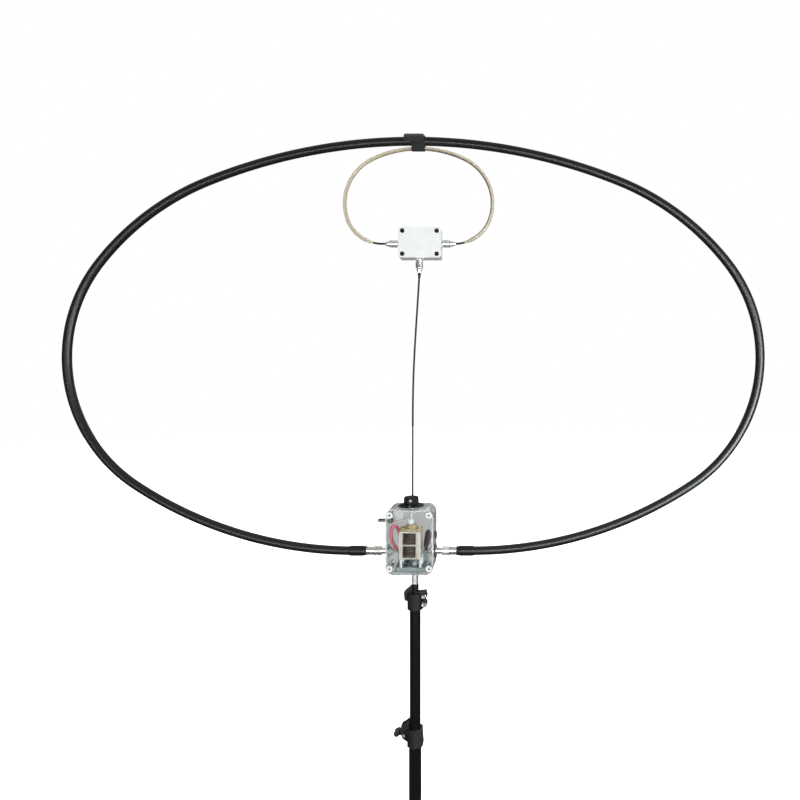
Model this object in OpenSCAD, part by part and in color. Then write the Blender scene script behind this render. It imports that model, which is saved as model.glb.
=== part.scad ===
// Magnetic loop antenna on a telescopic mast: a stiff black feeder-cable loop plugged into a clear
// tuning box, with a small coupling loop and its white box hanging from the loop's top.
// Millimetres. +Z up, +X to the right seen from the front, +Y to the back.
// The origin is the centre of the mast's lower end.

/* [Main loop] */
// outside diameter of the loop cable
cable_d = 16; // [12:0.5:22]
// radius of the bottom arcs
loop_r_bottom = 702; // [600:1:800]
// radius of the side arcs
loop_r_side = 271; // [230:1:320]
// radius of the shoulder arcs
loop_r_shoulder = 462; // [400:1:520]
// height of the plug axis above the mast foot
plug_z = 548; // [500:1:600]

/* [Coupling loop] */
// outside diameter of the coupling loop's tube
coupling_d = 6.8; // [5:0.1:8]
// width of the coupling box
cbox_w = 74.6; // [60:0.2:90]
// height of the coupling box
cbox_h = 53.6; // [40:0.2:60]
// depth of the coupling box
cbox_d = 27; // [22:1:35]

/* [Tuning box] */
// width of the tuning box
box_w = 82.6; // [80:0.2:100]
// height of the tuning box
box_h = 114; // [100:1:130]
// wall thickness of the tuning box
box_t = 2.6; // [2:0.1:4]
// radius of the knob's skirt
skirt_r = 22; // [15:0.5:22]
// radius of the knob's grip
grip_r = 13.2; // [9:0.2:15]

/* [Mast] */
// outside radius of the lower tube
low_r = 11; // [10:0.5:14]
// outside radius of the upper tube
up_r = 9.5; // [8:0.1:9.5]

/* [Node] */
// node to draw

/* [Hidden] */
$fn = 64;
cr = cable_d / 2;
lx = -3;          // the main loop's middle
bx = -6;          // the tuning box's middle
cx0 = 6;          // the coupling loop's middle
cbx = 9.3;        // the coupling box's middle
bz = plug_z + 23; // the tuning box's middle height
zb0 = bz - box_h / 2;
zb1 = bz + box_h / 2;
sx = bx;          // capacitor shaft
sy = -6;
cz0 = 1091;       // the coupling plugs' height
cxb = cbox_w / 2;
plate_x = -3.6;    // middle of the bolts on the base plate
plate_z = 523.6;  // top of the base plate
screw_x = 34;
screw_z = 46;
feed_x = 7.4;
tail_x = 64;      // where the coupling loop's bend starts, from its middle
tail_l = 14;      // degrees of bend that the left and right tails take
tail_r = 15;
tail_b = 66;      // radius of their bend
cyb = cbox_d / 2;
// centreline of the feed lead, from the coupling box down to the socket in the tuning box
feed_route = [[7.4, 0, 1044], [7.4, 0, 1036], [5, 1, 1000], [1.8, 3, 955], [-2, 6, 900], [-4.6, 9, 850], [-6, 12, 800],
    [-6.6, 15, 750], [-7, 17, 700], [-7.4, 19, 660], [-7.4, 19.5, 640], [-7.4, 19.5, 622], [-8.4, 19, 611], [-12, 17, 604],
    [-18, 14, 602], [-25.4, 10.6, 600.4], [-32.6, 8, 600], [-40, 8, 600]];
// centrelines of the leads from the loop sockets to the capacitor
red_route = [[-32, 0, 548], [-32.6, -1, 552], [-35.2, -3, 558], [-39, -5, 566], [-40.8, -6, 576], [-40.4, -5.4, 586], [-37, -3, 592.4],
    [-32.8, 0.5, 590], [-30.6, 4.5, 584], [-29.1, 7.4, 578.5], [-28.4, 8.3, 574.4]];
black_route = [[20, 0, 548], [19.4, -1, 551.5], [21, -4, 558], [24.4, -5, 566], [25.6, -4, 576], [23.8, 0, 582.5],
    [20.4, 4, 579], [18.6, 7, 570], [17, 8.3, 560], [16.4, 8.3, 552.4]];

// ---- paths and sweeps ----
function unit(v) = v / norm(v);
function arc(c, r, a0, a1, n, skip) = [for (i = [skip:n]) let (a = a0 + (a1 - a0) * i / n) [c[0] + r * cos(a), c[1] + r * sin(a)]];
// half an oval from its straight bottom end up to the top: bottom, side and shoulder arcs, closed by a top arc
function half_main() =
    let (x0 = 105, h1 = 33.4, h2 = h1 + 94.4, h3 = h2 + 30.1,
         c1 = [x0, plug_z + loop_r_bottom], p1 = c1 + loop_r_bottom * [sin(h1), -cos(h1)],
         c2 = p1 + loop_r_side * [-sin(h1), cos(h1)], p2 = c2 + loop_r_side * [sin(h2), -cos(h2)],
         c3 = p2 + loop_r_shoulder * [-sin(h2), cos(h2)], p3 = c3 + loop_r_shoulder * [sin(h3), -cos(h3)],
         r4 = p3[0] / sin(h3), c4 = [0, p3[1] + r4 * cos(h3)])
    concat(arc(c1, loop_r_bottom, -90, h1 - 90, 9, 0), arc(c2, loop_r_side, h1 - 90, h2 - 90, 14, 1),
           arc(c3, loop_r_shoulder, h2 - 90, h3 - 90, 6, 1), arc(c4, r4, h3 - 90, 90, 7, 1));
function half_coupling(t0) =
    let (x0 = tail_x, r1 = tail_b, h1 = 74.5, r2 = 87, h2 = h1 + 80,
         c1 = [x0, cz0 + r1], p1 = c1 + r1 * [sin(h1), -cos(h1)],
         c2 = p1 + r2 * [-sin(h1), cos(h1)], p2 = c2 + r2 * [sin(h2), -cos(h2)],
         r3 = p2[0] / sin(h2), c3 = [0, p2[1] + r3 * cos(h2)])
    concat(arc(c1, r1, t0 - 90, h1 - 90, 9, 0), arc(c2, r2, h1 - 90, h2 - 90, 12, 1), arc(c3, r3, h2 - 90, 90, 5, 1));
// a closed-oval path: the right half, then the left half mirrored, moved to the middle mx
function oval(half, mx, l_ends, r_ends) =
    concat([for (x = r_ends) [x, 0, half[0][1]]], [for (p = half) [mx + p[0], 0, p[1]]],
           [for (i = [len(half) - 2:-1:0]) [mx - half[i][0], 0, half[i][1]]], [for (x = l_ends) [x, 0, half[0][1]]]);
function spline(p, k) = let (n = len(p) - 1) concat([for (i = [0:n - 1]) for (j = [0:k - 1])
    let (a = p[max(i - 1, 0)], b = p[i], c = p[i + 1], d = p[min(i + 2, n)], t = j / k)
    0.5 * (2 * b + (c - a) * t + (2 * a - 5 * b + 4 * c - d) * t * t + (3 * b - a - 3 * c + d) * t * t * t)], [p[n]]);
// a round tube of n sides along the points p, with the radius of each ring in r
module sweep(p, r, n) {
    m = len(p);
    tan = [for (i = [0:m - 1]) unit(p[min(i + 1, m - 1)] - p[max(i - 1, 0)])];
    pts = [for (i = [0:m - 1]) let (u = unit(cross(tan[i], [0, 1, 0])), v = cross(u, tan[i]))
        for (j = [0:n - 1]) p[i] + r[i] * (cos(360 * j / n) * u + sin(360 * j / n) * v)];
    faces = concat([[for (j = [0:n - 1]) j]],
        [for (i = [0:m - 2]) for (j = [0:n - 1]) let (k = (j + 1) % n) [i * n + k, i * n + j, (i + 1) * n + j, (i + 1) * n + k]],
        [[for (j = [n - 1:-1:0]) (m - 1) * n + j]]);
    polyhedron(pts, faces);
}

// ---- helpers ----
module cyx(x0, x1, r, y = 0, z = 0) { translate([x0, y, z]) rotate([0, 90, 0]) cylinder(h = x1 - x0, r = r); }
module cyy(y0, y1, r, x = 0, z = 0) { translate([x, y0, z]) rotate([-90, 0, 0]) cylinder(h = y1 - y0, r = r); }
module cyz(z0, z1, r, x = 0, y = 0) { translate([x, y, z0]) cylinder(h = z1 - z0, r = r); }
module box(a, b) { translate(a) cube(b - a); }
module ext_y(y0, y1) { translate([0, y1, 0]) rotate([90, 0, 0]) linear_extrude(y1 - y0) children(); }
module rrect(w, h, r) {
    square([w - 2 * r, h], center = true);
    square([w, h - 2 * r], center = true);
    for (i = [-1, 1], j = [-1, 1]) translate([i * (w / 2 - r), j * (h / 2 - r)]) circle(r);
}
module hexx(x0, x1, af, y = 0, z = 0) { translate([x0, y, z]) rotate([0, 90, 0]) cylinder(h = x1 - x0, r = af / sqrt(3), $fn = 6); }
module hexz(z0, z1, af, x = 0, y = 0) { translate([x, y, z0]) cylinder(h = z1 - z0, r = af / sqrt(3), $fn = 6); }
module hexy(y0, y1, af, x = 0, z = 0) { translate([x, y0, z]) rotate([-90, 0, 0]) cylinder(h = y1 - y0, r = af / sqrt(3), $fn = 6); }
// places a part drawn along +X from a tuning-box side wall
module at_wall(s) { translate([bx + s * box_w / 2, 0, plug_z]) mirror([s < 0 ? 1 : 0, 0, 0]) children(); }
// places a part drawn along +X from a loop socket's end
module at_plug(s) { at_wall(s) translate([5, 0, 0]) children(); }
// places a part drawn along +X from a coupling-box side wall
module at_cbox(s) { translate([cbx + s * cxb, 0, cz0]) mirror([s < 0 ? 1 : 0, 0, 0]) children(); }
// places a part drawn along +X from the coupling box's bottom wall
module at_feed() { translate([feed_x, 0, cz0 - cbox_h / 2]) rotate([0, 90, 0]) children(); }

// ---- mast ----
module mast_lower_tube() color([0.05, 0.05, 0.05]) difference() {
    union() { cyz(0, 70, low_r - 0.2); cyz(70, 222, low_r); }
    cyz(-1, 223, up_r + 0.05);
}
module mast_upper_tube() color([0.05, 0.05, 0.05]) difference() {
    cyz(90, 467, up_r);
    cyz(89, 468, up_r - 1.3);
}
module mast_collar() color([0.06, 0.06, 0.06]) difference() {
    union() {
        translate([0, 0, 205]) rotate([0, 0, 30]) cylinder(h = 31, r = 15, $fn = 6);
        ext_y(-7.4, 7.4) polygon([[4, 235], [12.2, 235], [14.6, 207.5], [13.6, 206], [4, 206]]);
        for (s = [-1, 1]) ext_y(s > 0 ? 3.7 : -7.6, s > 0 ? 7.6 : -3.7)
            polygon([[-10.6, 249.5], [-17, 244.5], [-23.4, 240.7], [-26, 235], [-25, 228], [-21.5, 220], [-11.8, 213.4], [-11.8, 234], [-10.6, 236.5]]);
    }
    cyz(204, 222, low_r + 0.02);
    cyz(221, 237, up_r + 0.08);
    cyy(-9, 9, 1.5, -19, 225);
}
module collar_lever() color([0.07, 0.07, 0.07]) difference() {
    union() {
        ext_y(-3.4, 3.4) { translate([-19, 225]) circle(4.6); polygon([[-19, 229.6], [-27, 233.5], [-36.6, 228.6], [-37.2, 226.5], [-34, 222.4], [-24, 224], [-20, 220.6]]); }
        ext_y(-7.5, 7.5) polygon([[-28, 233], [-36.6, 228.6], [-37.2, 226.5], [-34, 222.4], [-28, 223.4]]);
    }
    cyy(-9, 9, 1.56, -19, 225);
}
module lever_pin() color([0.7, 0.7, 0.7]) { cyy(-8.4, 8.4, 1.48, -19, 225); cyy(-9.2, -7.7, 2.6, -19, 225); cyy(7.7, 9.2, 2.6, -19, 225); }
module mast_head() color([0.05, 0.05, 0.05]) difference() {
    union() {
        cyz(446, 474, 13.8);
        cyz(473, 490, 6.2);
        ext_y(-6, 6) polygon([[-4, 489], [-19.5, 476], [-18, 462], [-10, 460], [-4, 470]]);
        for (z = [455.8, 469.8]) ext_y(-7, 7) { translate([15.5, z]) circle(6); translate([4, z - 6]) square([11.5, 12]); }
        ext_y(-7, 7) polygon([[4, 476], [20, 477.5], [20.5, 472], [4, 470]]);
    }
    cyz(439, 468, up_r + 0.05);
    cyz(474, 491, 3.2);
    box([0, -1, 439], [23, 1, 479]);
    for (z = [455.8, 469.8]) cyy(-8, 8, 2.1, 16.2, z);
}
module head_bolts() color([0.75, 0.75, 0.76]) for (z = [455.8, 469.8]) difference() {
    union() { cyy(-7, 11, 2, 16.2, z); cyy(-10, -7, 3.7, 16.2, z); }
    translate([16.2, -10.5, z]) rotate([-90, 0, 0]) cylinder(h = 2, r = 1.9, $fn = 6);
}
module head_nuts() color([0.7, 0.7, 0.7]) for (z = [455.8, 469.8]) difference() { hexy(7, 10.5, 7, 16.2, z); cyy(6, 12, 2.05, 16.2, z); }
module adapter_stud() color([0.78, 0.78, 0.78]) { cyz(476, 490, 3.1); hexz(490, 511, 10.5); cyz(511, zb0, 8); cyz(zb0, 531, 3.1); }
module adapter_nut() color([0.75, 0.75, 0.75]) difference() { hexz(plate_z, plate_z + 4.5, 10.5); cyz(520, 530, 3.15); }

// ---- tuning box ----
module base_plate() color([0.62, 0.63, 0.64]) difference() {
    union() {
        translate([bx, 2, zb0 + box_t]) linear_extrude(plate_z - zb0 - box_t) rrect(54, 39, 4);
        box([bx - 27, 18.9, zb0 + box_t], [bx + 27, 21.5, 545]);
    }
    cyz(510, 530, 3.3);
    for (i = [-1, 1], j = [-8, 14.5]) cyz(510, 530, 1.6, plate_x + i * 11.5, j);
    for (i = [-1, 1], j = [-15, 8]) cyz(plate_z - 2, 530, 1.5, bx + i * 17, j);
}
module plate_bolts() color([0.12, 0.12, 0.13]) for (i = [-1, 1], j = [-8, 14.5]) difference() {
    union() { cyz(zb0 + 0.3, plate_z, 1.5, plate_x + i * 11.5, j); cyz(plate_z, plate_z + 3, 2.8, plate_x + i * 11.5, j); }
    translate([plate_x + i * 11.5, j, plate_z + 1.4]) cylinder(h = 3, r = 1.5, $fn = 6);
}
module capacitor_standoffs() color([0.8, 0.8, 0.8]) for (i = [-1, 1], j = [-15, 8]) { cyz(plate_z, 539.5, 2.5, bx + i * 17, j); cyz(plate_z - 1.8, plate_z, 1.45, bx + i * 17, j); }
module enclosure_base() color([0.85, 0.9, 0.92, 0.3]) difference() {
    union() {
        difference() {
            ext_y(-18, 25) translate([bx, bz]) rrect(box_w, box_h, 14);
            ext_y(-19, 25 - box_t) translate([bx, bz]) rrect(box_w - 2 * box_t, box_h - 2 * box_t, 11.4);
        }
        for (i = [-1, 1], j = [-1, 1]) cyy(-18, 24, 5.4, bx + i * screw_x, bz + j * screw_z);
    }
    for (i = [-1, 1], j = [-1, 1]) cyy(-19, -4, 1.9, bx + i * screw_x, bz + j * screw_z);
    cyx(bx - 60, bx + 60, 5.6, 0, plug_z);
    cyx(bx - 60, bx - 30, 3.3, 8, 600);
    cyx(bx + 30, bx + 60, 4.6, 4, 575);
    cyz(zb0 - 1, zb0 + 5, 3.3);
    for (i = [-1, 1], j = [-8, 14.5]) cyz(zb0 + 0.2, zb0 + 5, 1.55, plate_x + i * 11.5, j);
    cyz(zb1 - 5, zb1 + 1, 4.75, sx, sy);
    cyz(zb1 - 5, zb1 + 1, 2.7, -7.4, 19.5);
}
module enclosure_lid() color([0.88, 0.93, 0.95, 0.25]) difference() {
    union() {
        difference() {
            ext_y(-30, -18.8) translate([bx, bz]) rrect(box_w, box_h, 14);
            ext_y(-27.2, -18) translate([bx, bz]) rrect(box_w - 2 * box_t, box_h - 2 * box_t, 11.4);
        }
        for (i = [-1, 1], j = [-1, 1]) cyy(-28, -18.8, 6.2, bx + i * screw_x, bz + j * screw_z);
    }
    for (i = [-1, 1], j = [-1, 1]) { cyy(-31, -18, 2.2, bx + i * screw_x, bz + j * screw_z); cyy(-31, -27.2, 5.5, bx + i * screw_x, bz + j * screw_z); }
}
module lid_gasket() color([0.85, 0.85, 0.83]) difference() {
    ext_y(-18.75, -18.05) translate([bx, bz]) rrect(box_w - 0.8, box_h - 0.8, 13.6);
    ext_y(-19, -17) translate([bx, bz]) rrect(box_w - 2 * box_t + 0.6, box_h - 2 * box_t + 0.6, 11.6);
}
module lid_screws() color([0.95, 0.95, 0.93]) for (i = [-1, 1], j = [-1, 1]) difference() {
    union() { cyy(-29.8, -27.2, 5.2, bx + i * screw_x, bz + j * screw_z); cyy(-27.2, -5, 1.85, bx + i * screw_x, bz + j * screw_z); }
    translate([bx + i * screw_x, -29.4, bz + j * screw_z]) { cube([6.6, 2.4, 1.4], center = true); cube([1.4, 2.4, 6.6], center = true); }
}

// ---- variable capacitor and its drive ----
module capacitor_frame() color([0.9, 0.85, 0.78]) difference() {
    union() {
        for (z = [539.5, 562, 584.5]) box([bx - 18.5, -22, z], [bx + 18.5, 12, z + 2.5]);
        box([bx - 18.5, -22, 540], [bx - 16.5, 4, 586]);
        box([bx + 16.5, -22, 540], [bx + 18.5, 4, 586]);
        box([bx - 18.5, -22, 540], [bx - 12.5, -20.6, 586]);
        box([bx + 10, -22, 540], [bx + 18.5, -20.6, 586]);
    }
    cyz(539, 543, 3.05, sx, sy);
    cyz(561, 565, 3.5, sx, sy);
    cyz(584, 588, 6.15, sx, sy);
}
// fixed plates of one gang, on two rods, with a lug on one side
module gang_stator(z0, s) difference() {
    union() {
        for (k = [0:5]) box([sx - 14.8, -3, z0 + 3.8 + 2.6 * k], [sx + 14.8, 10, z0 + 4.6 + 2.6 * k]);
        for (i = [-1, 1]) cyz(z0 + 2, z0 + 18, 1.2, sx + i * 12.5, 8);
        box([s < 0 ? sx - 21.5 : sx + 12.5, 6.6, z0 + 9.4], [s < 0 ? sx - 12.5 : sx + 21.5, 9.6, z0 + 10.6]);
    }
    cyz(z0, z0 + 22, 5.4, sx, sy);
}
module stator_upper() color([0.72, 0.66, 0.52]) gang_stator(564.5, -1);
module stator_lower() color([0.72, 0.66, 0.52]) gang_stator(542, 1);
module stator_insulators() color([0.93, 0.92, 0.9]) for (z = [542, 560, 564.5, 582.5], i = [-1, 1]) cyz(z + 0.02, z + 1.98, 2.8, sx + i * 12.5, 8);
module capacitor_rotor() color([0.6, 0.52, 0.38]) translate([sx, sy, 0]) {
    cyz(540, 587.4, 3);
    cyz(585.4, 587.4, 6.1);
    for (a = [60, 180, 300]) cyz(587, 592.5, 0.9, 4.5 * cos(a), 4.5 * sin(a));
    for (z = [544.5, 567], k = [0:6]) translate([0, 0, z + 2.6 * k]) {
        linear_extrude(0.8) intersection() { circle(14); translate([-15, -15]) square([30, 15]); }
        cylinder(h = 0.8, r = 4.6);
    }
}
module drive_balls() color([0.8, 0.8, 0.8]) for (a = [0, 120, 240]) translate([sx + 4.5 * cos(a), sy + 4.5 * sin(a), 590.8]) sphere(2.95);
module drive_body() color([0.8, 0.6, 0.25]) difference() {
    union() {
        cyz(587, 596, 10.5, sx, sy);
        translate([sx, sy, 587]) linear_extrude(3.4) rrect(40, 23, 5);
    }
    cyz(586.9, 594.2, 7.5, sx, sy);
    cyz(594, 597, 3.06, sx, sy);
    for (i = [-1, 1]) cyz(586, 591, 1.3, sx + i * 15, sy);
}
module drive_screws() color([0.75, 0.75, 0.75]) for (i = [-1, 1]) difference() {
    union() { cyz(590.4, 592, 2.4, sx + i * 15, sy); cyz(587.1, 590.4, 1.25, sx + i * 15, sy); }
    translate([sx + i * 15, sy, 591.8]) cube([6, 0.7, 1], center = true);
}
module drive_input() color([0.75, 0.75, 0.76]) { cyz(588.3, 594, 1.45, sx, sy); cyz(594, 601, 3, sx, sy); }
module shaft_coupler() color([0.94, 0.93, 0.9]) difference() { cyz(596.6, 606, 5, sx, sy); cyz(596, 607, 3.02, sx, sy); }
module knob_shaft() color([0.78, 0.78, 0.78]) cyz(601.4, 641, 3, sx, sy);
module shaft_bush() color([0.8, 0.72, 0.5]) difference() {
    union() { cyz(zb1 - box_t, zb1 + 3, 4.7, sx, sy); hexz(zb1, zb1 + 1.9, 11.5, sx, sy); cyz(zb1 - box_t - 3, zb1 - box_t, 6.6, sx, sy); }
    cyz(zb1 - 8, zb1 + 4, 3.06, sx, sy);
}
module tuning_knob() color([0.04, 0.04, 0.04]) difference() {
    translate([sx, sy, 0]) rotate_extrude() polygon([[0, 629], [skirt_r, 629], [skirt_r, 630.6], [grip_r + 1.6, 632.4], [grip_r, 633], [grip_r - 0.5, 644], [grip_r - 1.5, 645], [0, 645]]);
    cyz(628, 632, 7.6, sx, sy);
    cyz(628, 641.2, 3.02, sx, sy);
    cyy(sy - 15, sy - 2, 2.5, sx + 0.5, 639.5);
}
module knob_set_screw() color([0.8, 0.8, 0.8]) difference() {
    cyy(sy - grip_r + 0.1, sy - 3.1, 2.45, sx + 0.5, 639.5);
    translate([sx + 0.5, sy - grip_r, 639.5]) cube([6, 2, 0.8], center = true);
}

// ---- main loop, its sockets and plugs ----
module loop_jack() difference() {
    union() { cyx(-10.6, 18.5, 5.5); cyx(1.5, 3.5, 9.5); cyx(-15, -10, 2); }
    cyx(9, 19, 3);
}
module loop_jacks() color([0.75, 0.75, 0.74]) for (s = [-1, 1]) at_wall(s) loop_jack();
module jack_gaskets() color([0.06, 0.06, 0.06]) for (s = [-1, 1]) at_wall(s) difference() { cyx(0.02, 1.48, 12); cyx(-1, 3, 5.6); }
module jack_nuts() color([0.72, 0.72, 0.72]) for (s = [-1, 1]) at_wall(s) difference() { hexx(-box_t - 4, -box_t - 0.02, 15); cyx(-9, 0, 5.54); }
module loop_plugs() color([0.7, 0.7, 0.7]) for (s = [-1, 1]) at_plug(s) difference() {
    union() { cyx(14.5, 16.4, 5.3); cyx(16.4, 20.4, 4.62); cyx(20.3, 37, 7.2); cyx(6, 14.6, 1.2); }
    cyx(25, 38, 5.56);
    for (k = [0:3]) difference() { cyx(21.6 + 2.8 * k, 22.8 + 2.8 * k, 8); cyx(21 + 2.8 * k, 24 + 2.8 * k, 6.8); }
}
module loop_nut() difference() {
    cyx(7, 20, 7.8);
    cyx(6, 16.7, 5.58);
    cyx(16, 21, 4.7);
    for (a = [0:20:340]) rotate([a, 0, 0]) box([9, -0.5, 7.4], [18, 0.5, 9]);
}
module loop_nut_left() color([0.8, 0.8, 0.8]) at_plug(-1) loop_nut();
module loop_nut_right() color([0.8, 0.8, 0.8]) at_plug(1) loop_nut();
module loop_cable() color([0.05, 0.05, 0.05]) {
    l = bx - box_w / 2 - 5;
    r = bx + box_w / 2 + 5;
    path = oval(half_main(), lx, [l - 37, l - 37, l - 25.3], [r + 25.3, r + 37, r + 37]);
    m = len(path);
    // the repeated end ring steps from the bared core to the jacket
    p = [for (i = [0:m - 1]) path[i] + (i == 2 ? [0.02, 0, 0] : i == m - 3 ? [-0.02, 0, 0] : [0, 0, 0])];
    sweep(p, [for (i = [0:m - 1]) i < 2 || i > m - 3 ? 5.5 : cr], 16);
}
module loop_sleeves() color([0.03, 0.03, 0.03]) for (s = [-1, 1]) at_plug(s) difference() {
    union() { cyx(33, 62, cr + 1); cyx(62, 63.4, cr + 0.6); }
    cyx(32, 37, 7.25);
    cyx(37, 64, cr + 0.08);
}
module loop_strap() color([0.03, 0.03, 0.03]) {
    zt = 1272.6;
    zc = 1259.5;
    ri = coupling_d / 2 + 0.3;
    translate([cx0 - 12, 0, 0]) rotate([90, 0, 90]) linear_extrude(24) difference() {
        union() { translate([0, zt]) circle(cr + 2.3); translate([-ri - 1.8, zc]) square([2 * ri + 3.6, 12]); translate([0, zc]) circle(ri + 1.8); }
        translate([0, zt]) circle(cr + 0.4);
        translate([-ri, zc]) square([2 * ri, 10]);
        translate([0, zc]) circle(ri);
    }
    // the long end, laid over the front and top
    translate([cx0 - 25, 0, 0]) rotate([90, 0, 90]) linear_extrude(34.5) difference() {
        intersection() { translate([0, zt]) circle(cr + 5.4); polygon([[0, zt], [19, zt + 7], [19, zt + 20], [-19, zt + 20], [-19, zt - 5.4]]); }
        translate([0, zt]) circle(cr + 2.2);
    }
}

// ---- coupling loop and its box ----
module coupling_cable() color([0.78, 0.72, 0.6]) {
    hr = half_coupling(tail_r);
    hl = half_coupling(tail_l);
    p = concat([for (q = hr) [cx0 + q[0], 0, q[1]]], [for (i = [len(hl) - 2:-1:0]) [cx0 - hl[i][0], 0, hl[i][1]]]);
    sweep(p, [for (i = p) coupling_d / 2], 12);
}
// thin dark leads from the plugs up into the ends of the tube
module coupling_tails() color([0.05, 0.05, 0.05]) for (s = [-1, 1]) translate([cx0, 0, cz0]) mirror([s < 0 ? 1 : 0, 0, 0]) {
    translate([tail_x, 0, tail_b]) rotate([90, 0, 0]) rotate([0, 0, -90]) rotate_extrude(angle = s < 0 ? tail_l : tail_r, $fn = 192)
        translate([tail_b, 0]) circle(1.8, $fn = 32);
    cyx(cxb + 19.2 + s * (cbx - cx0), tail_x, 1.8);
}
module coupling_jacks() color([0.76, 0.76, 0.75]) { for (s = [-1, 1]) at_cbox(s) bare_socket(); at_feed() bare_socket(); }
module bare_socket() difference() {
    union() { cyx(-8, 12, 4.8); cyx(-4.5, -2.02, 7); hexx(0.02, 2.5, 12.5); cyx(-11, -7, 1.2); }
    cyx(3, 13, 2.4);
}
module bare_plug(rear) difference() {
    union() { cyx(12.4, 13.2, 4.6); cyx(13.1, 16.4, 4.05); cyx(16.3, 20, 5); translate([20, 0, 0]) rotate([0, 90, 0]) cylinder(h = 5, r1 = 4.4, r2 = 2.9); cyx(5, 12.5, 0.7); }
    cyx(19, 26, rear);
}
module coupling_plugs() color([0.78, 0.78, 0.77]) for (s = [-1, 1]) at_cbox(s) bare_plug(1.86);
module feed_plug() color([0.78, 0.78, 0.77]) at_feed() bare_plug(1.78);
module bayonet_ring() difference() {
    cyx(4, 16, 6.5);
    cyx(3, 13.4, 4.88);
    cyx(13, 17, 4.12);
    for (a = [0:20:340]) rotate([a, 0, 0]) box([9, -0.4, 6.1], [15, 0.4, 8]);
    for (a = [45, 225]) rotate([a, 0, 0]) box([5.4, -0.9, 4], [8, 0.9, 8]);
}
module coupling_ring_left() color([0.82, 0.82, 0.81]) at_cbox(-1) bayonet_ring();
module coupling_ring_right() color([0.82, 0.82, 0.81]) at_cbox(1) bayonet_ring();
module feed_ring() color([0.82, 0.82, 0.81]) at_feed() bayonet_ring();
module coupling_box_body() color([0.92, 0.93, 0.93]) difference() {
    union() {
        difference() {
            ext_y(3 - cyb, cyb) translate([cbx, cz0]) rrect(cbox_w, cbox_h, 4);
            ext_y(-cyb, cyb - 2) translate([cbx, cz0]) rrect(cbox_w - 4, cbox_h - 4, 2.5);
        }
        for (i = [-1, 1], j = [-1, 1]) cyy(3 - cyb, cyb - 1.5, 4, cbx + i * 30.2, cz0 + j * 20.2);
    }
    for (i = [-1, 1], j = [-1, 1]) cyy(-cyb, 2, 1.3, cbx + i * 30.2, cz0 + j * 20.2);
    cyx(cbx - 50, cbx + 50, 4.86, 0, cz0);
    cyz(cz0 - 40, cz0 - 15, 4.86, feed_x, 0);
}
module coupling_box_lid() color([0.94, 0.95, 0.95]) difference() {
    union() {
        ext_y(-cyb, 2.95 - cyb) translate([cbx, cz0]) rrect(cbox_w, cbox_h, 4);
        difference() {
            ext_y(2.8 - cyb, 4.5 - cyb) translate([cbx, cz0]) rrect(cbox_w - 4.6, cbox_h - 4.6, 2.2);
            ext_y(3.1 - cyb, 6 - cyb) translate([cbx, cz0]) rrect(cbox_w - 8, cbox_h - 8, 2);
            for (i = [-1, 1], j = [-1, 1]) cyy(3 - cyb, 6 - cyb, 4.4, cbx + i * 30.2, cz0 + j * 20.2);
        }
    }
    for (i = [-1, 1], j = [-1, 1]) { cyy(-cyb - 1, 5 - cyb, 1.6, cbx + i * 30.2, cz0 + j * 20.2); cyy(-cyb - 1, 1.9 - cyb, 4.2, cbx + i * 30.2, cz0 + j * 20.2); }
}
module coupling_box_screws() color([0.12, 0.12, 0.12]) for (i = [-1, 1], j = [-1, 1]) difference() {
    union() { cyy(0.5 - cyb, 1.9 - cyb, 3.7, cbx + i * 30.2, cz0 + j * 20.2); cyy(1.9 - cyb, 1, 1.25, cbx + i * 30.2, cz0 + j * 20.2); }
    translate([cbx + i * 30.2, 0.5 - cyb, cz0 + j * 20.2]) { cube([3.6, 1.4, 0.8], center = true); cube([0.8, 1.4, 3.6], center = true); }
}
module balun_core() color([0.2, 0.2, 0.21]) translate([cbx, 3, cz0]) rotate([90, 0, 0]) difference() { cyz(-4, 4, 11); cyz(-5, 5, 6); }
module balun_winding() color([0.75, 0.4, 0.2]) translate([cbx, 3, cz0]) rotate([90, 0, 0])
    for (a = [0:45:315]) rotate([0, 0, a]) translate([8.5, 0, 0]) rotate([90, 0, 0]) rotate_extrude($fn = 48) translate([5.7, 0]) circle(0.6, $fn = 24);

// ---- feed lead and the tuning box's other fittings ----
module feed_lead() color([0.1, 0.1, 0.1]) { p = spline(feed_route, 4); sweep(p, [for (i = p) 1.7], 8); }
module lead_grommet() color([0.05, 0.05, 0.05]) difference() {
    union() { cyz(zb1 - box_t - 1.6, zb1 + 2, 2.65, -7.4, 19.5); cyz(zb1 + 0.02, zb1 + 2, 3, -7.4, 19.5); cyz(zb1 - box_t - 1.6, zb1 - box_t - 0.02, 2.75, -7.4, 19.5); }
    cyz(zb1 - 9, zb1 + 4, 1.9, -7.4, 19.5);
}
module rf_jack() color([0.8, 0.78, 0.7]) translate([bx - box_w / 2, 8, 600]) mirror([1, 0, 0]) difference() {
    union() { cyx(-8, 20, 3.175); hexx(0.02, 2.4, 8); cyx(-5.2, -box_t - 0.02, 5.5); }
    cyx(9, 21, 1.9);
    cyx(-9, -5.6, 1.75);
}
module red_lead() color([0.75, 0.08, 0.1]) { p = spline(red_route, 4); sweep(p, [for (i = p) 3], 10); }
module black_lead() color([0.05, 0.05, 0.05]) { p = spline(black_route, 4); sweep(p, [for (i = p) 3], 10); }
module side_plug() color([0.04, 0.04, 0.04]) translate([bx + box_w / 2, 4, 575]) rotate([0, 90, 0]) rotate_extrude()
    polygon([[0, -4.6], [4.9, -4.6], [4.9, -box_t - 0.1], [4.5, -box_t - 0.1], [4.5, 0.02], [7, 0.02], [6.6, 1.6], [5, 2.5], [0, 2.9]]);

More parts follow.
